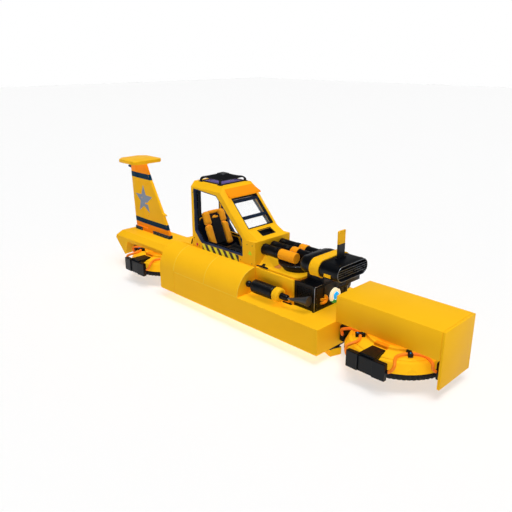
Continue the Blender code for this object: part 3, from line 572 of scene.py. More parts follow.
def growTree(name, made, spots, body="craft", slot=None, smooth=40, **sizes):
    # Spots are (place, axis) in stations, and sizes the tree's named inputs. The grown mesh is kept, the
    # modifier and its points are not.
    tree, keys, material = made
    mesh = bpy.data.meshes.new(name + "Spots")
    mesh.from_pydata([tuple(Vector(place) + datum) for place, axis in spots], [], [])
    turn = mesh.attributes.new("turn", "FLOAT_VECTOR", "POINT")
    for i, (place, axis) in enumerate(spots):
        turn.data[i].vector = Vector(axis).to_track_quat("Z", "Y").to_euler()
    base = newObject(name + "Spots", mesh)
    modifier = base.modifiers.new("repeat", "NODES")
    modifier.node_group = tree
    for label, value in sizes.items():
        modifier[keys[label.capitalize()]] = value
    grown = evaluatedMesh(base)
    bpy.data.objects.remove(base)
    bpy.data.meshes.remove(mesh)
    grown.name = name
    for attribute in [a for a in grown.attributes if a.name == "turn"]:
        grown.attributes.remove(attribute)
    settle(makeItem(name, grown, material, smooth), body, None)


def studTree(material):
    # A domed rivet or screw head: its radius, and its height as a share of that.
    tree, keys, entry = startTree("studs_" + material.name, {"Radius": 0.006, "Height": 0.4})
    ball = addNode(tree, "GeometryNodeMeshUVSphere", {"Segments": 10, "Rings": 6},
                   {"Radius": entry.outputs["Radius"]})
    scale = addNode(tree, "ShaderNodeCombineXYZ", {0: 1.0, 1: 1.0}, {2: entry.outputs["Height"]})
    flat = addNode(tree, "GeometryNodeTransform", links={"Geometry": ball, "Scale": scale})
    closeTree(tree, entry, flat, material)
    return tree, keys, material


def hoopTree(material):
    # A round hoop of wire, such as a rib, a clamp or a guard ring.
    tree, keys, entry = startTree("hoops_" + material.name, {"Radius": 0.1, "Wire": 0.004, "Steps": 40})
    circle = addNode(tree, "GeometryNodeCurvePrimitiveCircle", {"mode": "RADIUS"},
                     {"Resolution": entry.outputs["Steps"], "Radius": entry.outputs["Radius"]})
    wire = addNode(tree, "GeometryNodeCurvePrimitiveCircle", {"mode": "RADIUS", "Resolution": 8},
                   {"Radius": entry.outputs["Wire"]})
    ring = addNode(tree, "GeometryNodeCurveToMesh", links={"Curve": circle, "Profile Curve": wire})
    closeTree(tree, entry, ring, material)
    return tree, keys, material


def slatTree(material):
    # A plain bar: its length on the local X, its depth on the local Y, its thickness along the aim.
    inputs = {"Length": 0.2, "Depth": 0.02, "Thickness": 0.006}
    tree, keys, entry = startTree("slats_" + material.name, inputs)
    size = addNode(tree, "ShaderNodeCombineXYZ", links={i: entry.outputs[key] for i, key in enumerate(keys)})
    bar = addNode(tree, "GeometryNodeMeshCube", links={"Size": size})
    closeTree(tree, entry, bar, material)
    return tree, keys, material


alloyStuds = studTree(rimAlloy)
blackStuds = studTree(blackPlastic)
yellowStuds = studTree(yellowEnamel)
blackHoops = hoopTree(blackCoat)
alloySlats = slatTree(rimAlloy)
blackSlats = slatTree(blackPlastic)
print("trees made")


# Hull, pods and feet

def sternOutline(bay, steps):
    # Quarter rounds run down into upright sides, with the rear cowl's bay left open between them.
    right = [(-bay, 0.0), (-bay, 0.5)] + arcPoints((-0.5, 0), 0.5, 90, 180, steps)
    left = arcPoints((0.5, 0), 0.5, 0, 90, steps) + [(bay, 0.5), (bay, 0.0)]
    return [(-1.0, -0.49), (-0.99, -0.5), (0.99, -0.5), (1.0, -0.49)] + left + right


def makeHull():
    hull = {"half": 1.0, "bow": -2.0, "joint": 2.0, "stern": 2.5, "depth": 0.5, "bay": 0.5015, "steps": 28,
            "floor": 0.0008, "pods": (0.0, 1.0, 2.0)}
    half, joint, bay = hull["half"], hull["joint"], hull["bay"]
    shell = box((-half, half), (hull["bow"], joint - seam), (-hull["depth"], 0))
    makePiece("hullShell", yellowEnamel, [shell], stands="hull", bevel=0.007)
    stern = prism(sternOutline(bay, hull["steps"]), "y", joint + seam, hull["stern"])
    makePiece("sternModule", yellowEnamel, [stern], bevel=0.005, smooth=30)
    curve = arcPoints((0.5, 0), 0.5, 0, 90, hull["steps"])
    curve = [(max(x, bay), max(z, hull["floor"])) for x, z in curve]
    for name, side in sides:
        outline = [(side * x, z) for x, z in [(bay, hull["floor"])] + curve]
        pods = [prism(outline, "y", low + seam / 2, high - seam)
                for low, high in zip(hull["pods"], hull["pods"][1:])]
        makePiece("sidePod" + name, yellowEnamel, pods, stands="side_pod_" + name.lower(), bevel=0.004,
                  smooth=30)


def makeFeet():
    feet = {"half": 0.124, "x": 0.405, "turn": 20, "floor": -0.70, "top": -0.545, "beam": (0.585, 0.10),
            "beamTop": -0.5005, "cover": 0.120, "screw": 0.092,
            "places": (("front", -1.885, 1), ("rear", 2.275, -1))}
    top, half = feet["top"], feet["half"]
    levels = ((feet["floor"], -0.012), (feet["floor"] + 0.02, 0), (top - 0.02, 0), (top, -0.012))
    for place, y, way in feet["places"]:
        length, width = feet["beam"]
        # The beam, with black rubber on each foot's top.
        black = [box((-length, length), (y - width, y + width), (top + 0.001, feet["beamTop"]))]
        blocks = []
        spots = []
        for side in (-1, 1):
            turn = Matrix.Rotation(radians(side * way * feet["turn"]), 2)
            centre = Vector((side * feet["x"], y))
            cover = rectangle((-feet["cover"], feet["cover"]), (-feet["cover"], feet["cover"]))
            cover = [turn @ Vector(point) + centre for point in cover]
            black.append(prism(cover, "z", top - 0.008, top + 0.002))
            square = roundedPlan((-half, half), (-half, half), 0.02)
            blocks.append(([[(*(turn @ Vector(point) * (1 + grow / half) + centre), z) for point in square]
                            for z, grow in levels], True))
            for corner in rectangle((-1, 1), (-1, 1)):
                spots.append(((*(turn @ Vector(corner) * feet["screw"] + centre), top + 0.0015), (0, 0, 1)))
        label = place.capitalize()
        makePiece("footBeam" + label, blackCoat, black, stands="skid_" + place, bevel=0.005)
        makePiece("landingFeet" + label, yellowEnamel, blocks, bevel=0.002)
        growTree("footScrews" + label, alloyStuds, spots, radius=0.011)


def makeBelly():
    # The underside: seam strips across the modules, rivets along them, and drain plugs.
    belly = {"z": -0.4998, "joints": (-1.4, -0.7, 0.0, 0.7, 1.4), "pitch": 0.08, "half": 0.94, "plugX": 0.55,
             "plugs": (-1.05, 0.35, 1.75),
             "plug": [(-0.004, 0.045), (0.006, 0.045), (0.010, 0.040), (0.010, 0.026), (0.022, 0.024),
                      (0.024, 0.020)]}
    half, z = belly["half"], belly["z"]
    count = int(2 * half / belly["pitch"])
    straps = [box((-half, half), (y - 0.03, y + 0.03), (z - 0.0022, z + 0.004)) for y in belly["joints"]]
    makePiece("bellyStraps", yellowEnamel, straps, bevel=0.0008)
    rivets = [((-half + 0.02 + i * (2 * half - 0.04) / count, y + 0.018 * (-1) ** i, z - 0.002), (0, 0, -1))
              for y in belly["joints"] for i in range(count + 1)]
    growTree("bellyRivets", alloyStuds, rivets, radius=0.007, height=0.5)
    plugs = [turned(belly["plug"], (side * belly["plugX"], y, z), downward, 24)
             for y in belly["plugs"] for side in (-1, 1)]
    makePiece("drainPlugs", greyAlloy, plugs)


def makeBow():
    bow = {"edge": 0.007, "rib": [(-3.9985, -0.03), (-3.9985, -0.44), (-3.992, -0.44), (-3.9905, -0.03)],
           "ribs": (-0.43, -0.15, 0.15, 0.43), "rail": ((-0.46, 0.46), (-3.9985, -3.9915), (-0.475, -0.445)),
           "boltX": 0.46, "bolts": (-3.9, -3.35, -2.7, -2.1)}
    polishNode("nose_box", "noseModule", yellowEnamel, bow["edge"])
    polishNode("bow_plate", "bowPlate", yellowEnamel, bow["edge"])
    # Bracing on the plate's rear face, below the nose module, seen past the front pad.
    ribs = [prism(bow["rib"], "x", x - 0.012, x + 0.012) for x in bow["ribs"]]
    makePiece("bowPlateRibs", yellowEnamel, ribs + [box(*bow["rail"])], bevel=0.001)
    # Bolts in the nose module's sole.
    spots = [((x, y, -0.0002), (0, 0, -1)) for x in (-bow["boltX"], bow["boltX"]) for y in bow["bolts"]]
    growTree("noseBolts", blackStuds, spots, radius=0.012, height=0.5)


def makeSeams():
    # Sealant beads where the modules meet, and along the deck's edge, paler than the enamel: a painted
    # highlight along the joints.
    beads = {"radius": 0.0045, "joints": (0.004, 1.0, 2.0), "edge": (0.03, 1.97), "steps": 40}
    shapes = []
    for side in (-1, 1):
        arc = arcPoints((0.5, 0), 0.5005, 2, 88, beads["steps"])
        for y in beads["joints"]:
            shapes.append(rod([(side * x, y, z) for x, z in arc], beads["radius"], 8))
        shapes.append(rod([(side * 0.9985, y, 0.002) for y in beads["edge"]], beads["radius"] * 0.8, 8))
    makePiece("podBeads", highlightSealant, shapes, smooth=60)


makeHull()
makeSeams()
makeFeet()
makeBelly()
makeBow()
print("hull made")


# Fairing ahead of the cab

def makeFairing():
    fairing = {"lidTop": 0.5358, "well": ((-0.68, 0.292), (-0.63, 0.366)), "oval": (0.062, 0.125),
               "ovalPlace": (-0.222, -0.345), "ovalTurn": -40, "latch": (-0.465, -0.145), "armHalf": 0.028,
               "fork": (0.0, -0.02), "arms": ((-0.08, 0.10), (0.17, 0.07), (-0.03, -0.17))}
    top = fairing["lidTop"]
    polishNode("fore_body", "fairingBody", yellowEnamel, smooth=40)
    # Flat collar that closes the lid round the blower's foot, its hole further forward than its edge.
    (innerY, inner), (outerY, outer) = fairing["well"]
    section = ((innerY, inner, top - 0.004), (innerY, inner + 0.001, top + 0.0012),
               (outerY, outer - 0.003, top + 0.0012), (outerY, outer, top - 0.0002),
               (outerY, outer, top - 0.004), (innerY, inner, top - 0.004))
    rings = [[(r * cos(a), y + r * sin(a), z) for a in turns(96)] for y, r, z in section]
    makePiece("wellCollar", yellowEnamel, [(rings, False)], smooth=30)
    # Shallow oval filler cup with a rolled rim, turned a little from the craft's axis.
    a, b = fairing["oval"]
    turn = Matrix.Rotation(radians(fairing["ovalTurn"]), 2)
    oval = [tuple(turn @ Vector((a * cos(t), b * sin(t))) + Vector(fairing["ovalPlace"])) for t in turns(40)]
    rim = ((-0.008, -0.001), (-0.008, 0.004), (-0.003, 0.007), (0.002, 0.005), (0.006, 0.0018))
    makePiece("fillerCup", recessPaint, [stack(oval, [(inset, top + z) for inset, z in rim])], smooth=60)
    # Forked rubber latch at the fairing's rear corner, trimmed where it meets the fairing's edges.
    place = Vector(fairing["latch"])
    forks = []
    for end in fairing["arms"]:
        a, b = Vector(fairing["fork"]), Vector(end)
        side = Vector((-(b - a).y, (b - a).x)).normalized() * fairing["armHalf"]
        outline = [place + point for point in (a - side, b - side, b + side, a + side)]
        outline = [(max(x, -0.4985), min(y, -0.012)) for x, y in outline]
        forks.append(prism(outline, "z", top - 0.0008, top + 0.025))
    makePiece("fairingLatch", blackPlastic, forks, bevel=0.003)
    # Panel joint between lid and body, drawn as a slim black gasket all round: its black is a painted shade
    # for the gap under the lid's overhang.
    plan = [(-0.452, -0.05), (-0.452, -1.0), (-0.361, -1.0765), (0.361, -1.0765), (0.452, -1.0),
            (0.452, -0.05)]
    makePiece("lidShadowGasket", blackPlastic, [prism(plan, "z", 0.5, 0.5035)])
    # Rolled front lip under the lid.
    path = [(-0.455, -0.90, 0.50), (-0.452, -1.0, 0.497), (-0.36, -1.078, 0.494), (0, -1.081, 0.492)]
    path += [(-x, y, z) for x, y, z in path[2::-1]]
    makePiece("lidLip", orangeEnamel, [rod(smoothPath(path, 40), 0.008, 10)], smooth=60)


def makeBlower():
    blower = {"y": -0.68, "steps": 64, "ribs": (0.575, 0.60, 0.625, 0.65), "bolts": 16, "boltRadius": 0.391,
              "bowl": [(0.3605, 0.27), (0.365, 0.278), (0.50, 0.282), (0.548, 0.286), (0.565, 0.305),
                       (0.60, 0.338), (0.655, 0.382), (0.672, 0.392), (0.690, 0.392), (0.70, 0.38),
                       (0.704, 0.36)]}
    y, r = blower["y"], blower["boltRadius"]
    makePiece("blowerCasing", blackCoat, [turned(blower["bowl"], (0, y, 0), upward, blower["steps"])],
              stands="blower_housing", smooth=30)
    bolts = [((r * cos(a), y + r * sin(a), 0.681), (cos(a), sin(a), 0.1))
             for a in turns(blower["bolts"], 0.5)]
    growTree("blowerBolts", alloyStuds, bolts, radius=0.007, height=0.7)
    for i, z in enumerate(blower["ribs"]):
        growTree("blowerRib" + str(i + 1), blackHoops, [((0, y, z), (0, 0, 1))], radius=0.314 + 0.023 * i,
                 wire=0.0045, steps=72)


def makeMachinery():
    bay = {"front": -1.5, "screwX": 0.437, "shackle": -1.5275, "bar": 0.0265}
    polishNode("machinery_box", "machineryCasing", blackCoat)
    # Alloy edge trim on the bulkhead, on its upright edges and both ends of its top edge: its pale colour is
    # a painted highlight along these edges.
    y = bay["front"] - 0.0045
    for name, side in sides:
        path = [(side * x, y, z) for x, z in
                ((0.492, 0.02), (0.492, 0.47), (0.488, 0.488), (0.47, 0.4945), (0.30, 0.4945))]
        makePiece("bulkheadHighlightTrim" + name, rimAlloy, [rod(path, 0.0075, 10)], smooth=60)
    # Front casting with stiffening bands and an inner frame, so that the bulkhead isn't a bare slab.
    casting = border(roundedPlan((-0.45, 0.45), (0.03, 0.465), 0.03, 6),
                     roundedPlan((-0.425, 0.425), (0.055, 0.44), 0.02, 6), "y", -1.512, -1.4995)
    bands = [box((x - 0.012, x + 0.012), (-1.511, -1.4995), (0.05, 0.445)) for x in (-0.21, 0.30)]
    makePiece("bulkheadFrame", blackCoat, [casting] + bands, bevel=0.002)
    screws = [((x, -1.5125, z), (0, -1, 0)) for x in (-bay["screwX"], bay["screwX"])
              for z in (0.06, 0.16, 0.26, 0.36, 0.45)]
    growTree("bulkheadScrews", alloyStuds, screws, radius=0.006)
    # Orange tow shackle: a bent bar that opens to the right, with a second prong across it.
    y = bay["shackle"]
    bow = [(-0.322, 0.152), (-0.25, 0.138), (-0.19, 0.145), (-0.158, 0.185), (-0.175, 0.235), (-0.215, 0.268)]
    prong = [(-0.322, 0.222), (-0.26, 0.208), (-0.20, 0.200), (-0.165, 0.196)]
    bars = [rod(smoothPath([(x, y, z) for x, z in points], count), bay["bar"], 14)
            for points, count in ((bow, 30), (prong, 14))]
    makePiece("towShackle", litOrangeEnamel, bars, smooth=60)
    # Cooling slats on the casing's open sides.
    for name, side in sides:
        spots = [((side * 0.458, -1.24, 0.09 + 0.035 * i), (0, 0, 1)) for i in range(10)]
        growTree("casingSlats" + name, blackSlats, spots, slot="black_metal", length=0.018, depth=0.32,
                 thickness=0.007)
    # Bent stub of a brace on the bulkhead's face, with its flange.
    stub = [(0.15, -1.501, 0.315), (0.17, -1.54, 0.33), (0.24, -1.60, 0.36), (0.305, -1.66, 0.39)]
    flange = [(0, 0.030), (0.03, 0.030), (0.035, 0.024), (0.05, 0.024)]
    shapes = [rod(smoothPath(stub, 16), 0.02), turned(flange, (0.15, -1.4995, 0.315), forward, 20)]
    makePiece("braceStub", greyAlloy, shapes, smooth=50)


def makeLamp():
    lamp = {"x": 0.095, "y": -1.5, "z": 0.185, "lens": 0.078, "outer": 0.148, "foot": (215, 325)}
    x, y, z = start = (lamp["x"], lamp["y"], lamp["z"])
    lens, outer = lamp["lens"], lamp["outer"]
    dome = [(0, lens), (0.042, lens), (0.060, 0.070), (0.070, 0.052), (0.075, 0.03), (0.076, 0.008)]
    makePiece("lampLens", cyanLens, [turned(dome, start, forward)], stands="lamp", smooth=50)
    # The bezel's faint glow is painted light round the lens.
    bezel = [(0, lens + 0.001), (0, outer - 0.002), (0.030, outer), (0.046, outer - 0.007),
             (0.055, outer - 0.022), (0.052, lens + 0.006), (0.045, lens + 0.001)]
    makePiece("lampBezel", glowingBezel, [hoop(bezel, start, forward)], smooth=50)
    # Green position light moulded round the foot of the bezel.
    light = [(0.01, outer + 0.002), (0.035, outer + 0.005), (0.050, outer - 0.003), (0.060, outer - 0.03),
             (0.056, lens + 0.004), (0.01, lens + 0.004)]
    low, high = lamp["foot"]
    angles = [radians(low + (high - low) * i / 18) for i in range(19)]
    rings = [[(x + r * cos(a), y - s, z + r * sin(a)) for s, r in light] for a in angles]
    makePiece("lampFoot", greenMark, [(rings, True)], smooth=50)


makeFairing()
makeBlower()
makeMachinery()
makeLamp()
print("fairing, blower and machinery made")


# Air tubes and intake

def makeTubes():
    tubes = {"z": 0.825, "pitch": 0.25, "bolt": 0.1135, "boltY": -0.615,
             "head": [(0.0005, 0.095), (0.012, 0.098), (0.016, 0.112), (0.034, 0.112), (0.038, 0.105)],
             "short": [(0.40, 0.105), (0.405, 0.110), (0.43, 0.110), (0.4497, 0.108)],
             "long": [(0.70, 0.105), (0.705, 0.098), (0.985, 0.098), (0.99, 0.101)],
             "flare": [(0.985, 0.099), (0.992, 0.112), (1.03, 0.1135), (1.0597, 0.118), (1.0597, 0.099)],
             "coupling": [(0.535, 0.103), (0.537, 0.112), (0.545, 0.1145), (0.69, 0.1145), (0.699, 0.112),
                          (0.702, 0.103)],
             "shortRibs": (0.10, 0.14, 0.34, 0.37), "longRibs": (0.10, 0.14, 0.42, 0.46)}
    z, r = tubes["z"], tubes["bolt"]
    # The right tube is short and ends in the orange sleeve.
    for place, name, kind in ((-1, "Right", "short"), (0, "Middle", "long"), (1, "Left", "long")):
        x = place * tubes["pitch"]
        start = (x, 0, z)
        makePiece("airTube" + name, blackCoat, [turned(tubes["head"] + tubes[kind], start, forward, 56)],
                  stands="air_tube_" + name.lower(), smooth=28)
        ribs = [((x, -y, z), (0, -1, 0)) for y in tubes[kind + "Ribs"]]
        growTree("tubeRibs" + name, blackHoops, ribs, radius=0.105, wire=0.005, steps=56)
        if kind == "long":
            makePiece("tubeFlare" + name, greyAlloy, [hoop(tubes["flare"], start, forward)], smooth=30)
            makePiece("tubeCoupling" + name, litOrangeEnamel, [hoop(tubes["coupling"], start, forward)],
                      smooth=30)
            bolts = [((x + r * cos(a), tubes["boltY"], z + r * sin(a)), (cos(a), 0, sin(a)))
                     for a in map(radians, range(-30, 240, 45))]
            growTree("couplingBolts" + name, alloyStuds, bolts, radius=0.007, height=0.7)


def makeSleeve():
    # Thin-walled sleeve with two shallow grooves and a rolled front edge.
    sleeve = {"start": (-0.25, 0, 0.825), "r": 0.104, "groove": 0.1015}
    r, groove = sleeve["r"], sleeve["groove"]
    profile = [(0.4503, 0.096), (0.4515, 0.102), (0.457, r), (0.50, r), (0.503, groove), (0.509, groove),
               (0.512, r), (0.79, r), (0.793, groove), (0.799, groove), (0.802, r), (0.836, r),
               (0.846, 0.100), (0.8497, 0.094), (0.8488, 0.02)]
    makePiece("sleeve", litOrangeEnamel, [turned(profile, sleeve["start"], forward, 64)], stands="orange_sleeve",
              smooth=28)


# The duct and what clasps it share one flat round section.
duct = {"half": 0.455, "height": 0.152, "z": 0.82}


def ductShape(stations, caps=True):
    # Stations are (y, half width, half height).
    return [[(x, y, z) for x, z in stadiumPoints(half, height, duct["z"])]
            for y, half, height in stations], caps


def ductLoop(section):
    # A closed section of (y, how far it stands out of the duct's skin).
    return ductShape([(y, duct["half"] + out, duct["height"] + out) for y, out in section + section[:1]],
                     False)


def makeDuct():
    half, height, z = duct["half"], duct["height"], duct["z"]
    outer = [(-1.0605, 0.400, 0.133), (-1.066, 0.410, 0.138), (-1.10, 0.434, 0.145), (-1.16, half, height),
             (-1.90, half, height), (-1.922, half - 0.003, height - 0.003),
             (-1.9297, half - 0.012, height - 0.012)]
    inner = [(-1.9297, 0.426, 0.123), (-1.918, 0.42, 0.117), (-1.63, 0.41, 0.107)]
    makePiece("intakeDuct", blackCoat, [ductShape(outer + inner)], stands="intake_duct", smooth=28)
    rim = [(-1.9300, -0.014), (-1.9325, -0.003), (-1.950, -0.001), (-1.9595, -0.010), (-1.9560, -0.022),
           (-1.938, -0.030), (-1.9300, -0.030)]
    makePiece("intakeRim", blackCoat, [ductLoop(rim)], stands="intake_grille")
    bead = [(x, -1.9575, pz) for x, pz in stadiumPoints(half - 0.011, height - 0.011, z)]
    makePiece("intakeBead", rimAlloy, [rod(bead + bead[:2], 0.0045, 8)], smooth=60)
    slats = [((0, -1.944, z + rise), (0, -0.35, 1)) for rise in (-0.065, -0.02, 0.02, 0.065)]
    growTree("intakeSlats", alloySlats, slats, slot="grey_metal", length=0.845, depth=0.014, thickness=0.004)
    posts = [((x, -1.930, z), (1, 0, 0)) for x in (-0.28, 0, 0.28)]
    growTree("intakePosts", blackSlats, posts, length=0.232, depth=0.012, thickness=0.010)
    ribs = [ductLoop([(y - 0.006, 0.0005), (y - 0.004, 0.004), (y + 0.004, 0.004), (y + 0.006, 0.0005)])
            for y in (-1.20, -1.24, -1.60, -1.88)]
    makePiece("ductRibs", blackCoat, ribs, smooth=60)


def makeBand():
    band = {"out": 0.0005, "thick": 0.0215, "front": -1.54, "rear": -1.33, "z": (0.745, 0.805)}
    front, rear, low, high = band["front"], band["rear"], band["out"], band["out"] + band["thick"]
    section = [(front, low), (front, high - 0.004), (front + 0.003, high), (front + 0.022, high),
               (front + 0.026, high - 0.006), (rear - 0.026, high - 0.006), (rear - 0.022, high),
               (rear - 0.003, high), (rear, high - 0.004), (rear, low)]
    makePiece("ductBand", yellowEnamel, [ductLoop(section)], stands="duct_band", smooth=30)
    z = duct["z"] + duct["height"] + high - 0.006
    spots = [((x, y, z), (0, 0, 1)) for x in (-0.27, -0.09, 0.09, 0.27) for y in (-1.50, -1.37)]
    growTree("bandScrews", alloyStuds, spots, radius=0.008)
    # Small yellow bracket on the duct's side, with its two bosses.
    bosses = [box((-0.472, -0.452), (y, y + 0.03), (0.755, 0.795)) for y in (-1.80, -1.71)]
    makePiece("sideBracket", yellowEnamel, [box((-0.463, -0.452), (-1.815, -1.665), band["z"])] + bosses,
              bevel=0.003)


def makeBlade():
    blade = {"half": 0.10, "y": (-1.69, -1.66), "low": 0.9725, "split": 1.255, "top": 1.505}
    low, split, width = blade["low"], blade["split"], (-blade["half"], blade["half"])
    post = prism(roundedPlan(width, (low, split), 0.01, 3), "y", *blade["y"])
    makePiece("bladePost", blackCoat, [post, box((-0.13, 0.13), (-1.70, -1.65), (low, low + 0.028))],
              stands="sight_blade", bevel=0.003)
    plate = roundedPlan(width, (split + 0.001, blade["top"]), 0.014, 4)
    makePiece("bladePlate", yellowEnamel, [prism(plate, "y", *blade["y"])], bevel=0.003)
    spots = [((x, blade["y"][0] - 0.0005, z), (0, -1, 0)) for x in (-0.07, 0.07)
             for z in (1.03, 1.22, 1.29, 1.47)]
    growTree("bladeScrews", blackStuds, spots, radius=0.007)
    polishNode("duct_cradle", "ductCradle", greyAlloy)


makeTubes()
makeSleeve()
makeDuct()
makeBand()
makeBlade()
print("air tubes and intake made")


# Deck struts

def makeStruts():
    strut = {"x": 0.69, "z": 0.21, "ribPitch": 0.035, "ball": (0.733, -0.062, 0.232), "ballRadius": 0.0675,
             "barrel": [(0.125, 0.03), (0.131, 0.06), (0.142, 0.09), (0.158, 0.115), (0.182, 0.129),
                        (0.685, 0.129), (0.698, 0.122), (0.706, 0.1)],
             "collar": [(0.722, 0.065), (0.724, 0.12), (0.738, 0.135), (0.755, 0.1397), (0.825, 0.1397),
                        (0.855, 0.134), (0.872, 0.118), (0.880, 0.095), (0.876, 0.065)],
             "rod": [(0.68, 0.062), (1.02, 0.060), (1.035, 0.052), (1.05, 0.03)],
             "tip": [(1.0, 0.02), (1.04, 0.024), (1.085, 0.024), (1.115, 0.021), (1.12, 0.012)],
             "coneTip": (0.69, -1.09, 0.21), "coneBase": (0.587, -1.4547, 0.243),
             "cone": [(0.0, 0.018), (0.03, 0.026), (0.25, 0.038), (0.5, 0.054), (0.75, 0.074), (0.92, 0.093),
                      (0.985, 0.097), (1.0, 0.093)],
             "cleat": [(-0.76, 0.0008), (-0.98, 0.0008), (-0.98, 0.02), (-0.95, 0.034), (-0.79, 0.034),
                       (-0.76, 0.02)],
             "cap": [(-0.80, 0.030), (-0.93, 0.030), (-0.915, 0.045), (-0.815, 0.045)]}
    pitch = strut["ribPitch"]
    r = strut["ballRadius"]
    ball = [(r * sin(a), r * cos(a)) for a in map(radians, range(-80, 81, 10))]
    for name, side in sides:
        mirrored = Vector((side, 1, 1))
        start = Vector((side * strut["x"], 0, strut["z"]))
        # The ball sits a little up and out of line with the barrel, on a bent neck.
        centre = Vector(strut["ball"]) * mirrored
        neck = [centre, centre.lerp(start, 0.45) + Vector((0, -0.04, 0)), start + Vector((0, -0.15, 0))]
        shapes = [turned(strut["barrel"], start, forward), turned(ball, centre, forward, 32),
                  rod(smoothPath(neck, 8), 0.042, 16)]
        makePiece("strutBarrel" + name, blackCoat, shapes, stands="deck_strut_" + name.lower(), smooth=28)
        ribs = [((start.x, -0.20 - pitch * i, start.z), (0, -1, 0)) for i in range(14)]
        growTree("strutRibs" + name, blackHoops, ribs, radius=0.1265, wire=0.006, steps=48)
        studs = [((start.x + 0.128 * cos(a), -0.2175 - 1.5 * pitch * i, start.z + 0.128 * sin(a)),
                  (cos(a), 0, sin(a)))
                 for i in range(8) for a in map(radians, range(150, 0, -30))]
        growTree("strutStuds" + name, blackStuds, studs, radius=0.008, height=0.7)
        makePiece("strutCollar" + name, yellowEnamel, [hoop(strut["collar"], start, forward)], smooth=60)
        makePiece("strutRod" + name, blackCoat, [turned(strut["rod"], start, forward, 40)], smooth=30)
        makePiece("strutTip" + name, rimAlloy, [turned(strut["tip"], start, forward, 24)], smooth=40)
        # Flared cone that carries the rod's end on the bulkhead.
        tip, base = Vector(strut["coneTip"]) * mirrored, Vector(strut["coneBase"]) * mirrored
        rings = [[tip.lerp(base, t) + Vector((r * cos(a), 0, r * sin(a))) for a in turns(40)]
                 for t, r in strut["cone"]]
        makePiece("strutCone" + name, coneCoat, [(rings, True)], smooth=40)
        # Small black and orange cleat on the deck under the rod.
        makePiece("deckCleat" + name, blackPlastic, [prism(strut["cleat"], "x", side * 0.505, side * 0.530)],
                  bevel=0.004)
        makePiece("cleatCap" + name, orangeEnamel, [prism(strut["cap"], "x", side * 0.509, side * 0.527)],
                  bevel=0.003)


makeStruts()
print("deck struts made")


# Cab

sideOpening = [(1.85, 1.79), (1.125, 1.75), (0.37, 1.005), (0.355, 0.64), (1.635, 0.635), (1.84, 0.865)]
screenLow = Vector((0.335, 1.165))
screenHigh = Vector((0.84, 1.705))
screenNormal = Vector((-0.73, 0.683)).normalized()


def screenPoint(rise, out):
    # A point in the windscreen's own plane: its distance up the screen and out of it.
    point = screenLow + (screenHigh - screenLow).normalized() * rise + screenNormal * out
    return point.x, point.y


def makeCabShell():
    shell = {"edge": 0.005, "panels": (("cab_side_right", "cabSideRight"), ("cab_side_left", "cabSideLeft"),
             ("cab_nose", "cabNose"), ("windscreen_frame", "windscreenFrame"), ("cab_roof", "cabRoof"),
             ("cab_rear_wall", "cabRearWall"))}
    for node, name in shell["panels"]:
        polishNode(node, name, yellowEnamel, shell["edge"])
    polishNode("visor", "visorPeak", orangeEnamel, 0.003)
    polishNode("rear_cowl", "rearCowl", yellowEnamel, shell["edge"])


def makeSideFrames():
    # Each loop has its reach in x, how far its two edges lie inside the opening, and its own bevel.
    frames = {"loops": (("openingSeal", blueSeal, (0.417, 0.503), (-0.0004, 0.016), 0.003),
                        ("openingFrame", blackCoat, (0.392, 0.418), (-0.004, 0.045), 0.004)),
              "screwX": 0.4185, "screwIn": 0.030, "screwPitch": 0.16}
    rounded = roundedOutline(sideOpening, 0.035)
    middle = insetOutline(rounded, frames["screwIn"])
    for name, side in sides:
        for label, material, (low, high), insets, edge in frames["loops"]:
            outer, inner = [insetOutline(rounded, inset) for inset in insets]
            loop = border(outer, inner, "x", side * low, side * high)
            makePiece(label + name, material, [loop], bevel=edge)
        screws = []
        for a, b in zip(middle, middle[1:] + middle[:1]):
            a, b = Vector(a), Vector(b)
            count = int((b - a).length / frames["screwPitch"])
            places = [a.lerp(b, (i + 0.5) / count) for i in range(count)]
            screws += [((side * frames["screwX"], *place), (side, 0, 0)) for place in places]
        growTree("openingScrews" + name, alloyStuds, screws, radius=0.006)


def makeSillMarks():
    marks = {"x": 0.5, "thick": 0.0022, "sill": ((0.47, 0.495), (1.60, 0.495), (1.60, 0.632), (0.47, 0.632)),
             "lamp": ((1.745, 1.795), (0.542, 0.60)),
             "triangle": ((0.095, 0.722), (0.205, 0.722), (0.150, 0.808)),
             "rivets": ((0.23, 0.915), (0.085, 0.92), (0.095, 0.545), (0.415, 0.555), (1.87, 0.70),
                        (1.87, 1.70), (1.70, 0.545), (0.06, 0.10), (0.60, 0.08), (1.20, 0.08), (1.80, 0.08))}
    for name, side in sides:
        low, high = side * (marks["x"] - 0.0005), side * (marks["x"] + marks["thick"])
        plate = prism(roundedOutline(marks["sill"], 0.008, 3), "x", low, high)
        makePiece("sillPlate" + name, hazardPlate, [plate], bevel=0.0008)
        lamp = prism(roundedPlan(*marks["lamp"], 0.012, 4), "x", low, high + side * 0.006)
        makePiece("sideMarker" + name, redMark, [lamp], bevel=0.002)
        makePiece("sideTriangle" + name, limeMark, [prism(marks["triangle"], "x", low, high)], bevel=0.0006)
        spots = [((side * (marks["x"] + 0.0002), y, z), (side, 0, 0)) for y, z in marks["rivets"]]
        growTree("cabRivets" + name, blackStuds, spots, radius=0.010, height=0.45)


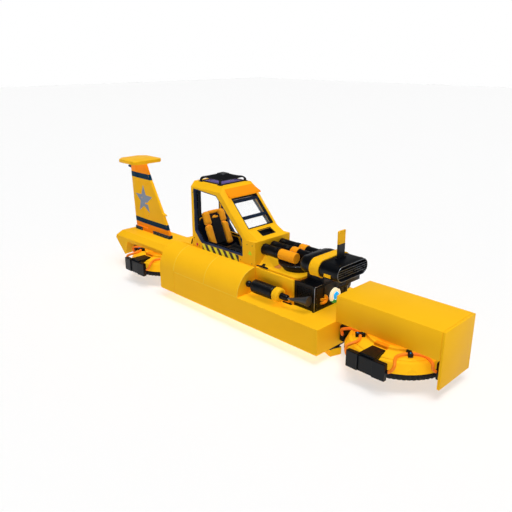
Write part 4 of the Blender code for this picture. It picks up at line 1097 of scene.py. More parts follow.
def makeScreen():
    screen = {"height": (screenHigh - screenLow).length, "half": 0.358, "barHalf": 0.345,
              "bars": (0.262, 0.652), "cap": ((-0.034, 0.0), (-0.034, 0.008), (0.034, 0.008), (0.034, 0.0))}
    polishNode("screen_guard", "screenGuard", blackCoat, 0.003)
    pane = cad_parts["windscreen_glass"].data
    pane.materials.clear()
    pane.materials.append(clearPane)
    # Black rubber lip round the guard, and its cap screws.
    half = screen["half"]
    outer = roundedPlan((-half, half), (0.002, screen["height"] - 0.002), 0.02, 4)
    inner = insetOutline(outer, 0.012)
    rings = [[(x, *screenPoint(rise, out)) for x, rise in points] for points, out in
             ((outer, 0.003), (outer, 0.009), (inner, 0.009), (inner, 0.003), (outer, 0.003))]
    makePiece("screenLip", blackPlastic, [(rings, False)], bevel=0.002)
    spots = [((x, *screenPoint(rise, 0.0045)), (0, *screenNormal)) for x in (-0.337, 0.337)
             for rise in (0.10, 0.255, 0.40, 0.655)]
    growTree("screenScrews", alloyStuds, spots, radius=0.006)
    # Broad caps over both guard bars.
    caps = [([[(x, *screenPoint(centre + rise, out)) for rise, out in screen["cap"]]
              for x in (-screen["barHalf"], screen["barHalf"])], True) for centre in screen["bars"]]
    makePiece("guardCaps", navyLining, caps, bevel=0.002)


def makeHoodVent():
    vent = {"half": 0.1685, "y": (0.1165, 0.2485), "floor": 0.9755, "front": 1.0565, "rear": 1.1185,
            "rearSide": 1.1225, "wall": 0.008, "opening": (0.17, 0.115, 0.25)}
    half, floor, front, wall = vent["half"], vent["floor"], vent["front"], vent["wall"]
    low, high = vent["y"]
    # A dark tray below the opening, its walls run up to the hood's underside.
    shapes = [box((-half, half), vent["y"], (floor, floor + wall)),
              box((-half, half), (low, low + wall), (floor, front)),
              box((-half, half), (high - wall, high), (floor, vent["rear"]))]
    cheek = [(low, floor), (high, floor), (high, vent["rearSide"]), (low, front)]
    shapes += [prism(cheek, "x", x, x + wall) for x in (-half, half - wall)]
    # Flush black rim on the sloping hood round it.
    across, near, far = vent["opening"]
    rings = []
    for grow, lift in ((0.001, -0.0006), (0.017, -0.0006), (0.017, 0.0022), (0.001, 0.0022),
                       (0.001, -0.0006)):
        outline = rectangle((-across - grow, across + grow), (near - grow, far + grow))
        rings.append([(x, y, 1.0 + 0.5 * y + lift) for x, y in outline])
    makePiece("ventTray", blackPlastic, shapes + [(rings, False)])
    spots = [((0, low + 0.024 + 0.028 * i, 1.0 + 0.014 * i), (0, -0.5, 1)) for i in range(4)]
    growTree("ventSlats", blackSlats, spots, length=0.315, depth=0.024, thickness=0.004)


def makeHatch():
    hatch = {"x": 0.335, "y": (1.135, 1.785), "low": 1.9303, "corner": 0.05, "wide": 0.035, "screwX": 0.318}
    low = hatch["low"]
    outer = roundedPlan((-hatch["x"], hatch["x"]), hatch["y"], hatch["corner"], 6)
    inner = insetOutline(outer, hatch["wide"])
    glass = stack(inner, ((-0.003, low), (-0.003, low + 0.010), (0.004, low + 0.014)))
    makePiece("hatchGlass", lilacPane, [glass], stands="skylight", bevel=0.001)
    section = ((outer, low), (insetOutline(outer, 0.003), low + 0.017),
               (insetOutline(outer, 0.008), low + 0.020), (insetOutline(inner, -0.004), low + 0.020),
               (inner, low + 0.017), (inner, low), (outer, low))
    rings = [[(x, y, z) for x, y in outline] for outline, z in section]
    makePiece("hatchFrame", blackCoat, [(rings, False)], smooth=30)
    spots = [((x, 1.21 + 0.10 * i, low + 0.020), (0, 0, 1)) for x in (-hatch["screwX"], hatch["screwX"])
             for i in range(6)]
    growTree("hatchScrews", alloyStuds, spots, radius=0.006)


def makeRoofGuard():
    guard = {"y": 1.46, "half": 0.292, "low": 2.004, "lip": 2.034, "top": 2.0998, "block": 0.10, "legX": 0.35,
             "legY": 0.30, "roof": 1.9303, "rod": 0.016,
             "leg": ((0, 0, 0), (0, 0, 0.045), (0.03, 0.03, 0.085), (0.10, 0.08, 0.094), (0.15, 0.12, 0.094))}
    centre, half, block, top, lip = guard["y"], guard["half"], guard["block"], guard["top"], guard["lip"]
    plan = roundedPlan((-1, 1), (-1, 1), 0.28, 4)

    def tier(levels):
        # The square plan at several half widths and heights.
        return [[(x * reach, centre + y * reach, z) for x, y in plan] for reach, z in levels], True
    plate = tier(((half - 0.012, guard["low"]), (half, guard["low"] + 0.008), (half, lip - 0.004),
                  (half - 0.006, lip), (block + 0.03, top - 0.028), (block + 0.012, top - 0.022)))
    makePiece("roofGuardPlate", blackCoat, [plate], stands="roof_guard", bevel=0.002)
    cap = tier(((block, top - 0.024), (block, top - 0.006), (block - 0.006, top), (block - 0.03, top),
                (block - 0.036, top - 0.008)))
    makePiece("roofGuardCap", greyAlloy, [cap], bevel=0.001)
    legs = []
    feet = [(x * guard["legX"], centre + y * guard["legY"], x, y) for x in (-1, 1) for y in (-1, 1)]
    for x, y, sideX, sideY in feet:
        for offset in (-0.028, 0.028):
            base = Vector((x + offset * 0.4, y + offset, guard["roof"] + 0.0002))
            path = [base + Vector((-sideX * a, -sideY * b, rise)) for a, b, rise in guard["leg"]]
            legs.append(rod(smoothPath(path, 20), guard["rod"], 10))
    for x, y, sideX, sideY in feet:
        foot = roundedPlan((x - 0.036, x + 0.036), (y - 0.055, y + 0.055), 0.015, 4)
        legs.append(prism(foot, "z", guard["roof"], 1.940))
    makePiece("roofGuardLegs", blackCoat, legs, smooth=45)
    spots = [((x + side * 0.026, y + side * 0.046, 1.940), (0, 0, 1)) for x, y, sideX, sideY in feet
             for side in (1, -1)]
    growTree("guardBolts", alloyStuds, spots, radius=0.006, height=0.7)
    ribs = [((0, centre + y, lip + 0.012), (0, 0, 1)) for y in (-0.21, 0.21)]
    growTree("guardRidges", blackSlats, ribs, length=0.36, depth=0.012, thickness=0.014)


def makeCabRear():
    rear = {"window": ((-0.29, 0.29), (1.16, 1.72)), "rivetX": 0.36}
    outer = roundedPlan(*rear["window"], 0.03, 4)
    seal = border(insetOutline(outer, -0.012), insetOutline(outer, 0.014), "y", 1.9255, 1.934)
    makePiece("rearWindowSeal", blackPlastic, [seal], bevel=0.002)
    spots = [((x, 1.9255, z), (0, 1, 0)) for x in (-rear["rivetX"], rear["rivetX"])
             for z in (0.62, 0.95, 1.28, 1.60, 1.85)]
    growTree("rearWallRivets", blackStuds, spots, radius=0.010, height=0.45)
    # Dark blue lining inside, with a yellow top trim.
    lining = border(rectangle((-0.385, 0.385), (0.045, 1.80)), rectangle((-0.285, 0.285), (1.165, 1.715)),
                    "y", 1.8585, 1.8645)
    makePiece("rearLining", navyLining, [lining], bevel=0.002)
    trim = ((0.355, 1.06), (0.335, 1.095), (0.29, 1.105), (0.10, 1.105))
    trims = [rod(smoothPath([(side * x, 1.850, z) for x, z in trim], 16), 0.0095, 10) for side in (-1, 1)]
    makePiece("liningTrim", yellowEnamel, trims, smooth=60)
    # Dark panels on the inside of both side walls, below their openings, and a grab rail on the left one.
    panel = [(0.37, 0.045), (1.84, 0.045), (1.84, 0.79), (1.66, 0.588), (0.37, 0.588)]
    makePiece("sideLining", navyLining, [prism(panel, "x", side * 0.413, side * 0.4195) for side in (-1, 1)],
              bevel=0.002)
    rail = [(0.386, 0.62, 0.665), (0.382, 0.66, 0.686), (0.382, 1.60, 0.686), (0.382, 1.70, 0.735)]
    makePiece("grabRail", yellowEnamel, [rod(smoothPath(rail, 30), 0.008, 10)], smooth=60)


def makeCowlFittings():
    cowl = {"barX": 0.45, "bars": (1.96, 2.04), "bar": ((0, 0.505), (-0.008, 0.525), (-0.05, 0.635)),
            "hatch": ((-0.26, 0.26), (2.10, 2.42)), "top": 0.5065, "screwX": 0.235,
            "screws": (2.13, 2.26, 2.39)}
    # Two short grab bars lean forward on the cowl beside each of the cab's rear corners.
    bars = [rod([(side * cowl["barX"], y + lean, z) for lean, z in cowl["bar"]], 0.015)
            for side in (-1, 1) for y in cowl["bars"]]
    makePiece("cowlBars", blackCoat, bars, smooth=60)
    # Screwed hatch on the cowl.
    hatch = prism(roundedPlan(*cowl["hatch"], 0.03), "z", 0.498, cowl["top"])
    makePiece("cowlHatch", yellowEnamel, [hatch], bevel=0.002)
    spots = [((x, y, cowl["top"]), (0, 0, 1)) for x in (-cowl["screwX"], cowl["screwX"])
             for y in cowl["screws"]]
    growTree("cowlScrews", alloyStuds, spots, radius=0.008)


makeCabShell()
makeSideFrames()
makeSillMarks()
makeScreen()
makeHoodVent()
makeHatch()
makeRoofGuard()
makeCabRear()
makeCowlFittings()
print("cab made")


# Inside the cab

wheelCentre = Vector((0, 0.50, 0.80))
columnAxis = Vector((0, 0.83, 0.56)).normalized()


def makeDash():
    dash = {"dials": ((-0.24, 0.045), (-0.11, 0.055), (0.11, 0.055), (0.24, 0.045)),
            "aim": (0, 0.6933, 0.7206), "dialPlace": (0.255, 0.8945), "ticks": 9,
            "boot": ((-0.236, 0.052), (-0.22, 0.045), (-0.204, 0.039))}
    polishNode("dashboard", "dashBody", blackPlastic, 0.006)
    polishNode("cab_floor", "floorMat", padRubber, 0.003)
    slats = [((0, 0.30 + 0.05 * i, 0.0405), (0, 0, 1)) for i in range(14)]
    growTree("floorRibs", blackSlats, slats, length=0.74, depth=0.018, thickness=0.005)
    aim = Vector(dash["aim"])
    down = Vector((0, aim.z, -aim.y))
    rings, faces, hands, ticks = [], [], [], []
    for x, radius in dash["dials"]:
        centre = Vector((x, *dash["dialPlace"]))
        faces.append(turned([(-0.004, radius - 0.002), (0.003, radius - 0.002), (0.004, radius - 0.006)],
                            centre, aim, 32))
        rings.append(hoop([(0.0, radius - 0.003), (0.0, radius + 0.006), (0.006, radius + 0.004),
                           (0.009, radius), (0.006, radius - 0.003)], centre, aim, 40))
        swing = radians(40 + 260 * (x + 0.3))
        hand = Vector((cos(swing), 0, 0)) + down * sin(swing)
        pivot = centre + aim * 0.0055
        tip = pivot + hand * radius * 0.75
        hands.append(rod([pivot - hand * 0.008, pivot, tip], [0.002, 0.003, 0.0008], 6))
        for i in range(dash["ticks"]):
            a = radians(-220 + 260 * i / 8)
            mark = Vector((cos(a), 0, 0)) - down * sin(a)
            ticks.append((centre + aim * 0.0045 + mark * radius * 0.8, aim))
    makePiece("dialFaces", blackPlastic, faces)
    makePiece("dialRings", rimAlloy, rings, smooth=50)
    makePiece("dialHands", orangeEnamel, hands, smooth=50)
    growTree("dialTicks", alloyStuds, ticks, radius=0.0026)
    # A row of switches, left open round the column.
    switches = [((x, 0.305, 0.8475), aim) for x in [-0.33 + 0.055 * i for i in range(13)] if abs(x) > 0.08]
    growTree("dashSwitches", studTree(orangeEnamel), switches, radius=0.008, height=1.4)
    # Ribbed rubber boot round the column's foot.
    boot = [hoop(roundSection((start, 0.030), radius - 0.028, 10), wheelCentre, columnAxis, 40)
            for start, radius in dash["boot"]]
    makePiece("columnBoot", padRubber, boot, smooth=60)


def makeSteeringWheel():
    wheel = {"radius": 0.16, "grip": 0.0135, "ridges": 24, "spokes": (-90, 30, 150),
             "reach": ((0.022, 0.018, 0.004, -0.012), (0.06, 0.012, 0.0035, -0.010),
                       (0.12, 0.011, 0.0035, -0.003), (0.155, 0.014, 0.004, 0.0)),
             "section": ((-1, -0.6), (0, -1), (1, -0.6), (1, 0.6), (0, 1), (-1, 0.6)),
             "hub": [(-0.125, 0.0145), (-0.045, 0.0145), (-0.04, 0.030), (-0.035, 0.035), (0.006, 0.035),
                     (0.010, 0.033)],
             "boss": [(0.008, 0.031), (0.014, 0.030), (0.019, 0.024), (0.021, 0.012), (0.0215, 0.002)]}
    turn = columnAxis.to_track_quat("Z", "Y").to_matrix()
    grip = []
    for a in turns(96):
        section = roundSection((0, wheel["radius"]), wheel["grip"] * (1.0 + 0.04 * cos(wheel["ridges"] * a)))
        grip.append([wheelCentre + turn @ Vector((r * cos(a), r * sin(a), s)) for s, r in section])
    makePiece("steeringGrip", padRubber, [(grip + [grip[0]], False)], body="steering",
              stands="steering_wheel", smooth=70)
    spokes = []
    for angle in map(radians, wheel["spokes"]):
        out = turn @ Vector((cos(angle), sin(angle), 0))
        side = columnAxis.cross(out)
        rings = []
        for reach, half, deep, drop in wheel["reach"]:
            middle = wheelCentre + out * reach + columnAxis * drop
            rings.append([middle + side * half * u + columnAxis * deep * v for u, v in wheel["section"]])
        spokes.append((rings, True))
    makePiece("steeringSpokes", greyAlloy, spokes + [turned(wheel["hub"], wheelCentre, columnAxis, 40)],
              body="steering")
    makePiece("steeringBoss", blackPlastic, [turned(wheel["boss"], wheelCentre, columnAxis, 40)],
              body="steering", smooth=60)


def makeLevers():
    lever = {"x": 0.35, "console": [(0.98, 0.0405), (1.44, 0.0405), (1.42, 0.42), (1.02, 0.46)],
             "paddle": [(1.255, 0.43), (1.305, 0.43), (1.388, 0.632), (1.345, 0.648)],
             "knob": [(0, 0.010), (0.10, 0.010), (0.105, 0.018), (0.120, 0.023), (0.134, 0.020),
                      (0.142, 0.010)],
             "pedals": (-0.11, 0.02, 0.13)}
    console = prism(roundedOutline(lever["console"], 0.03, 4), "x", 0.312, 0.405)
    makePiece("leverConsole", blackPlastic, [console], bevel=0.005)
    paddle = prism(roundedOutline(lever["paddle"], 0.015, 4), "x", 0.343, 0.357)
    makePiece("leverPaddle", yellowEnamel, [paddle], bevel=0.004)
    boot = hoop(roundSection((0, 0.036), 0.009, 10), (lever["x"], 1.28, 0.436), upward, 30)
    makePiece("leverBoots", padRubber, [boot, turned(lever["knob"], (lever["x"], 1.13, 0.44), upward, 24)],
              smooth=60)
    pedals = []
    for x in lever["pedals"]:
        # A sloping plate, a little narrower at both ends, on its arm.
        rings = []
        for t, w in ((0, 0.9), (0.15, 1), (0.85, 1), (1, 0.9)):
            y, z = 0.27 - 0.10 * t, 0.10 + 0.10 * t
            rings.append([(x + 0.032 * w * u, y + 0.006 * v, z + 0.006 * v)
                          for u, v in rectangle((-1, 1), (0, 1))])
        pedals += [(rings, True), rod([(x, 0.225, 0.16), (x, 0.21, 0.20), (x, 0.184, 0.25)], 0.007, 8)]
    makePiece("pedals", greyAlloy, pedals, bevel=0.002)


makeDash()
makeSteeringWheel()
makeLevers()
print("inside made")


# Seat

padFilling = {"frames": 20, "cloth": {"use_pressure": True, "quality": 6, "tension_stiffness": 20,
                                      "compression_stiffness": 20, "bending_stiffness": 0.4}}


def swell(item, pad):
    # Remeshed, blown up as cloth without gravity, its travel capped, then applied and subdivided once.
    scene = bpy.context.scene
    remesh = item.modifiers.new("remesh", "REMESH")
    remesh.mode = "VOXEL"
    remesh.voxel_size = pad["voxel"]
    start = evaluatedMesh(item)
    old = item.data
    item.data = start
    bpy.data.meshes.remove(old)
    rest = [vertex.co.copy() for vertex in start.vertices]
    cloth = item.modifiers.new("cloth", "CLOTH").settings
    for key, value in padFilling["cloth"].items():
        setattr(cloth, key, value)
    cloth.uniform_pressure_force = pad["pressure"]
    cloth.effector_weights.gravity = 0.0
    for number in range(1, padFilling["frames"] + 1):
        scene.frame_set(number)
    blown = evaluatedMesh(item)
    moved = [vertex.co.copy() for vertex in blown.vertices]
    bpy.data.meshes.remove(blown)
    scene.frame_set(1)
    for vertex, before, after in zip(start.vertices, rest, moved):
        step = after - before
        vertex.co = before + step * min(1.0, pad["travel"] / max(step.length, 1e-6))
    smooth = item.modifiers.new("settle", "SMOOTH")
    smooth.factor = 0.5
    smooth.iterations = 3
    finer = item.modifiers.new("finer", "SUBSURF")
    finer.levels = 1
    finer.render_levels = 1
    item.data = evaluatedMesh(item)
    bpy.data.meshes.remove(start)
    item.data.shade_smooth()


def makePad(name, rings, material, pad, stands=None):
    item = makeItem(name, meshFrom(name, joinShapes([(rings, True)])), material, 180)
    swell(item, pad)
    if not item.data.materials:
        item.data.materials.append(material)
    settle(item, "craft", stands)


def backPoint(rise, depth):
    # The backrest leans: rise runs up its face from the seat, depth runs back from that face.
    foot = Vector((1.482, 0.530))
    along = Vector((0.290, 0.690)).normalized()
    behind = Vector((along.y, -along.x))
    point = foot + along * rise + behind * depth
    return point.x, point.y


def backSlice(x, low, high, near, far):
    # One upright slice through a backrest pad, at x, between two rises and two depths.
    outline = [(low, near + 0.02), (low + 0.03, near), (high - 0.04, near), (high, near + 0.03),
               (high, far - 0.02), (high - 0.03, far), (low + 0.02, far), (low, far - 0.02)]
    return [(x, *backPoint(rise, depth)) for rise, depth in outline]


def seatSlice(x, top, inset):
    # One upright slice through a seat pad, at x.
    seat = {"low": 0.408, "front": 0.99, "rear": 1.445}
    low, near, far = seat["low"], seat["front"] + inset, seat["rear"]
    return [(x, near, low + 0.02), (x, near, top - 0.03), (x, near + 0.03, top - 0.006),
            (x, (near + far) / 2, top - 0.010), (x, far - 0.03, top), (x, far, top - 0.02),
            (x, far, low + 0.015), (x, far - 0.03, low), (x, near + 0.03, low)]


def makeSeat():
    # The fullness of the pads, then each pad's slices: x, its lower and upper ends or its top and inset.
    seat = {"pad": {"voxel": 0.009, "pressure": 4.0, "travel": 0.012},
            "patch": {"voxel": 0.007, "pressure": 4.0, "travel": 0.006},
            "cushion": ((0.165, 0.478, 0.004), (0.19, 0.488, 0.0), (0.25, 0.488, 0.0), (0.290, 0.468, 0.014)),
            "lower": ((0.158, -0.018, 0.478), (0.176, -0.026, 0.488), (0.265, -0.026, 0.484),
                      (0.300, -0.01, 0.458)),
            "upper": ((0.138, 0.492, 0.765), (0.156, 0.488, 0.780), (0.25, 0.488, 0.778),
                      (0.290, 0.50, 0.750))}
    pad = seat["pad"]
    # Seat: one black centre between two low black bolsters.
    makePad("seatCentre", [seatSlice(x, 0.472, 0.004) for x in (-0.155, -0.08, 0.0, 0.08, 0.155)], blackCloth,
            pad, "seat_cushion")
    for name, side in sides:
        slices = [seatSlice(side * x, top, inset) for x, top, inset in seat["cushion"]]
        makePad("seatBolster" + name, slices, blackCloth, pad)
    # Back: set-back black centre, bolsters up to the shoulder step, upper ones, and a slim band above.
    makePad("backCentre", [backSlice(x, 0.0, 0.700, 0.030, 0.100) for x in (-0.150, -0.07, 0.0, 0.07, 0.150)],
            blackCloth, pad, "seat_back")
    for name, side in sides:
        slices = [backSlice(side * x, low, high, 0.004, 0.105) for x, low, high in seat["lower"]]
        makePad("backBolster" + name, slices, orangeCloth, pad)
        slices = [backSlice(side * x, low, high, 0.004, 0.104) for x, low, high in seat["upper"]]
        makePad("backShoulder" + name, slices, orangeCloth, pad)
    makePad("backHead", [backSlice(x, 0.715, 0.782, 0.004, 0.104) for x in (-0.135, -0.06, 0.0, 0.06, 0.135)],
            orangeCloth, pad)
    # Orange patch in the recess below the arch.
    makePad("backPatch", [backSlice(x, 0.585, 0.668, 0.012, 0.080) for x in (-0.085, 0.0, 0.085)],
            orangeCloth, seat["patch"])


def makeSeatFrame():
    belt = {"half": 0.022, "thick": 0.0015, "steps": 24, "lapFrom": 9,
            "buckle": ((-0.075, 0.075), (1.302, 1.358)),
            "route": ((0.300, 1.46, 0.30), (0.303, 1.43, 0.42), (0.288, 1.38, 0.508), (0.20, 1.35, 0.506),
                      (0.06, 1.33, 0.498))}
    polishNode("seat_frame", "seatFrame", blackCoat)
    # Lap belt straps, upright beside the seat and flat across it, with a plain buckle.
    straps = []
    last = belt["steps"] - 1
    for side in (-1, 1):
        path = smoothPath([(side * x, y, z) for x, y, z in belt["route"]], belt["steps"])
        rings = []
        for i, point in enumerate(path):
            along = (path[min(i + 1, last)] - path[max(i - 1, 0)]).normalized()
            face = Vector((side, 0, 1 if i >= belt["lapFrom"] else 0.1))
            wide = along.cross(face).normalized() * belt["half"]
            thin = wide.cross(along).normalized() * belt["thick"]
            rings.append([point + wide + thin, point + wide - thin, point - wide - thin, point - wide + thin])
        straps.append((rings, True))
    makePiece("lapBelt", blackCloth, straps, smooth=50)
    buckle = prism(roundedPlan(*belt["buckle"], 0.012, 4), "z", 0.490, 0.506)
    makePiece("beltBuckle", greyAlloy, [buckle], bevel=0.003)


makeSeat()
makeSeatFrame()
print("seat made")


# Tail

def makeTailDeck():
    deck = {"edgeHalf": 0.4995, "topHalf": 0.386, "edge": 0.09, "top": 0.21, "foot": 0.02,
            "joints": (3.02, 4.02), "railX": 0.365}
    polishNode("tail_deck", "tailDeck", yellowEnamel, 0.006)
    # Slim straps over the joints between the deck's modules, following its bevelled sides.
    edge, half, top = deck["edgeHalf"], deck["topHalf"], deck["top"]
    strap = [(-edge, deck["foot"]), (-edge, deck["edge"]), (-half, top + 0.0022), (half, top + 0.0022),
             (edge, deck["edge"]), (edge, deck["foot"])]
    makePiece("deckStraps", yellowEnamel, [prism(strap, "y", y - 0.02, y + 0.02) for y in deck["joints"]],
              bevel=0.0008)
    rivets = [((-0.36 + 0.09 * i, y, top + 0.002), (0, 0, 1)) for y in deck["joints"] for i in range(9)]
    rivets += [((side * deck["railX"], 2.6 + 0.1 * i, top), (0, 0, 1)) for side in (-1, 1) for i in range(24)]
    growTree("deckRivets", yellowStuds, rivets, radius=0.007, height=0.5)
    # Rear wedge: a slatted strip on its face.
    slats = [((0, 4.87 - 0.040 * i, 0.03 - 0.05 * i - 0.012), (0, 0.76, -0.66)) for i in range(3)]
    growTree("wedgeRibs", slatTree(yellowEnamel), slats, length=0.80, depth=0.016, thickness=0.008)


def makeFin():
    fin = {"skin": 0.0352, "hinges": ((4.28, 1.43), (4.28, 0.95), (4.28, 0.66)),
           "hinge": ((-0.06, -0.024), (0.045, -0.018), (0.045, 0.018), (-0.06, 0.024)),
           "horns": ((4.59, 1.46, 0.020), (4.49, 1.065, 0.024), (4.46, 0.69, 0.027)),
           "horn": [(-0.006, 0.026), (0.003, 0.024), (0.008, 0.015), (0.010, 0.004)], "tail": 4.9007,
           "tab": ((-0.02, 1.765), (0.10, 1.775), (0.125, 1.80), (0.10, 1.825), (-0.02, 1.835)),
           "rail": ((4.26, 1.9605), (4.80, 1.9605), (4.72, 1.945), (4.34, 1.945)),
           "feet": ((3.44, 4.02), (4.55, 4.77))}
    polishNode("fin", "finBody", finEnamel)
    polishNode("rudder", "rudderBlade", finEnamel, 0.003, body="rudder", smooth=40)
    for place in ("front", "rear"):
        polishNode("fin_foot_" + place, "finFoot" + place.capitalize(), navyPaint)
    polishNode("stabiliser", "stabiliserPlane", yellowEnamel)
    skin = fin["skin"]
    for name, side in sides:
        # Rivets along the fin's front edge, root and top, and hinge covers along the rudder line.
        spots = [(3.52, 0.50)] + [(3.70 + 0.44 * i / 10, 0.80 + 0.84 * i / 10) for i in range(11)]
        spots += [(3.55 + 0.105 * i, 0.34) for i in range(8)] + [(4.33 + 0.07 * i, 1.93) for i in range(6)]
        growTree("finRivets" + name, yellowStuds, [((side * skin, y, z), (side, 0, 0)) for y, z in spots],
                 radius=0.006, height=0.4)
        covers = []
        for y, z in fin["hinges"]:
            outline = roundedOutline([(y + a, z + b) for a, b in fin["hinge"]], 0.012, 3)
            covers.append(prism(outline, "x", side * 0.0345, side * 0.047))
        makePiece("hingeCovers" + name, yellowEnamel, covers, bevel=0.004)
    # Rudder horns: small domes on the moving blade, on both sides.
    horns = [turned(fin["horn"], (side * half, y, z), Vector((side, 0, 0)), 20) for side in (-1, 1)
             for y, z, half in fin["horns"]]
    makePiece("rudderHorns", yellowEnamel, horns, body="rudder", smooth=60)
    # Dark blue trim tab on the rudder's tail.
    tab = prism([(fin["tail"] + y, z) for y, z in fin["tab"]], "x", -0.014, 0.014)
    makePiece("trimTab", navyPaint, [tab], body="rudder", bevel=0.003)
    # Nose probe, and a yellow root block and two rails under the stabiliser.
    probe = rod([(0, y, 0.768) for y in (3.64, 3.60, 3.54, 3.50)], [0.016, 0.014, 0.009, 0.003], 16)
    makePiece("finProbe", greyAlloy, [probe], smooth=60)
    root = prism(roundedPlan((-0.075, 0.075), (4.24, 4.62), 0.03, 4), "z", 1.925, 1.9605)
    makePiece("stabiliserRoot", yellowEnamel, [root], bevel=0.004)
    makePiece("stabiliserRails", yellowEnamel, [prism(fin["rail"], "x", side * 0.19, side * 0.17)
                                                for side in (-1, 1)], bevel=0.002)
    spots = [((x, y, 2.0395), (0, 0, 1)) for x in (-0.28, 0.28) for y in (4.36, 4.52, 4.68)]
    growTree("stabiliserRivets", yellowStuds, spots, radius=0.007, height=0.4)
    bolts = []
    for low, high in fin["feet"]:
        count = max(2, int((high - low) / 0.11))
        bolts += [((side * 0.055, low + (high - low) * i / count, 0.25), (side, 0, 0))
                  for i in range(count + 1) for side in (-1, 1)]
    growTree("finFootBolts", alloyStuds, bolts, radius=0.008, height=0.6)


makeTailDeck()
makeFin()
print("tail made")


# Hover pads

def quartered(point, quarter, centre):
    # A point of one quarter of a pad, turned to its place round the pad's centre.
    return Matrix.Rotation(quarter * pi / 2, 3, "Z") @ Vector(point) + centre


def quarterShape(outlines, quarter, centre, caps=True):
    # Plans (radius, sideways) at their heights, turned to one quarter.
    return [[quartered((r, t, z), quarter, centre) for r, t in outline] for outline, z in outlines], caps


def blockOutlines(reach):
    # Plans of a black block as (radius, sideways): the tongue, the slab's two wings, and its set-back middle.
    tongue = [(0.625, 0.132), (reach - 0.09, 0.150), (reach - 0.09, -0.150), (0.625, -0.132)]
    wing = [(reach - 0.10, 0.140), (reach - 0.10, 0.362), (reach - 0.088, 0.372), (reach - 0.013, 0.372),
            (reach - 0.001, 0.140)]
    middle = [(reach - 0.10, 0.141), (reach - 0.024, 0.141), (reach - 0.024, -0.141), (reach - 0.10, -0.141)]
    return (tongue, 0.0), (wing, 0.0), ([(r, -t) for r, t in reversed(wing)], 0.0), (middle, 0.016)


def makePadShell(name, centre, pads):
    stiffener = {"wide": ((-0.13, -0.30), (0.13, -0.30), (0.0, -0.195)), "middle": -0.265, "spread": 0.78,
                 "wall": ((0.93, -0.325), (0.862, -0.175)), "rivet": (0.825, -0.1585)}
    makePiece(name + "PadShell", yellowEnamel, [turned(pads["shell"], centre, upward, 120)],
              stands=name + "_pad_shell", smooth=24)
    # One raised triangular stiffener on each quadrant's wall.
    (lowR, lowZ), (highR, highZ) = stiffener["wall"]
    shapes = []
    for quarter in range(4):
        middle = radians(45) + quarter * pi / 2
        rings = []
        for spread, lift in ((1.0, -0.002), (stiffener["spread"], 0.010)):
            ring = []
            for swing, z in stiffener["wide"]:
                level = stiffener["middle"] + (z - stiffener["middle"]) * spread
                r = lowR - (level - lowZ) * (lowR - highR) / (highZ - lowZ) + lift
                a = middle + swing * spread
                ring.append(centre + Vector((r * cos(a), r * sin(a), level)))
            rings.append(ring)
        shapes.append((rings, True))
    makePiece(name + "PadStiffeners", yellowEnamel, shapes, bevel=0.002)
    # Rivets round the shoulder.
    r, z = stiffener["rivet"]
    angles = [radians(26 + 38 * i / 12) + quarter * pi / 2 for quarter in range(4) for i in range(13)]
    spots = [(centre + Vector((r * cos(a), r * sin(a), z)), (cos(a), sin(a), 1.6)) for a in angles]
    growTree(name + "PadRivets", yellowStuds, spots, radius=0.007, height=0.5)


def makePadBlocks(name, centre, pads):
    blocks, slots, ribs, bolts = [], [], [], []
    for quarter in range(4):
        reach = pads["reach"][quarter % 2]
        for outline, drop in blockOutlines(reach):
            levels = ((0.006, -0.412), (0.0, -0.404), (0.0, -0.120 - drop), (0.006, -0.112 - drop))
            plans = [(insetOutline(outline, inset), z) for inset, z in levels]
            blocks.append(quarterShape(plans, quarter, centre))
        # Raised cap on the tongue, with ribs across it.
        cap = [(0.628, 0.128), (reach - 0.06, 0.142), (reach - 0.06, -0.142), (0.628, -0.128)]
        levels = ((0.0, -0.1135), (0.0, -0.093), (0.006, -0.0885))
        blocks.append(quarterShape([(insetOutline(cap, inset), z) for inset, z in levels], quarter, centre))
        for i in range(8):
            place = quartered((0.70 + 0.022 * i, 0, -0.098), quarter, centre)
            bar = [quartered((r, t, 0), quarter, Vector())
                   for r, t in rectangle((-0.005, 0.005), (-0.06, 0.06))]
            ribs.append(([[place + point for point in bar],
                          [place + point * 0.96 + Vector((0, 0, 0.006)) for point in bar]], True))
        # A short intake slot near the top of the middle facet, and bolts along the slab.
        slot = rectangle((-0.045, 0.045), (-0.170, -0.152))
        slots.append(([[quartered((reach - 0.024 + out, t, z), quarter, centre) for t, z in slot]
                       for out in (-0.002, 0.003)], True))
        bolts += [(quartered((reach - 0.05, t, -0.112), quarter, centre), (0, 0, 1))
                  for t in (-0.33, -0.19, 0.19, 0.33)]
    makePiece(name + "PadBlocks", blackCoat, blocks, bevel=0.003)
    makePiece(name + "BlockSlots", blackPlastic, slots, bevel=0.001)
    growTree(name + "BlockBolts", blackStuds, bolts, radius=0.010, height=0.6)
    makePiece(name + "TongueRibs", blackPlastic, ribs)


def makePadVents(name, centre, pads):
    # Orange slatted vents between the hub's rings and the blocks' tongues.
    vent = {"near": 0.503, "far": 0.590, "half": 0.128, "wall": 0.009, "low": -0.10, "high": -0.046,
            "slats": 4, "pitch": 0.019}
    low, high = vent["low"], vent["high"]
    outer = rectangle((vent["near"], vent["far"]), (-vent["half"], vent["half"]))
    inner = insetOutline(outer, vent["wall"])
    wall = ((outer, low), (outer, high), (inner, high), (inner, low), (outer, low))
    shapes = []
    for quarter in range(4):
        shapes.append(quarterShape(wall, quarter, centre, False))
        for r in [vent["near"] + 0.015 + vent["pitch"] * i for i in range(vent["slats"])]:
            bar = rectangle((r - 0.005, r + 0.005), (-0.12, 0.12))
            shapes.append(quarterShape([(bar, z) for z in (-0.098, -0.047)], quarter, centre))
    makePiece(name + "PadVents", orangeEnamel, shapes, bevel=0.0015)


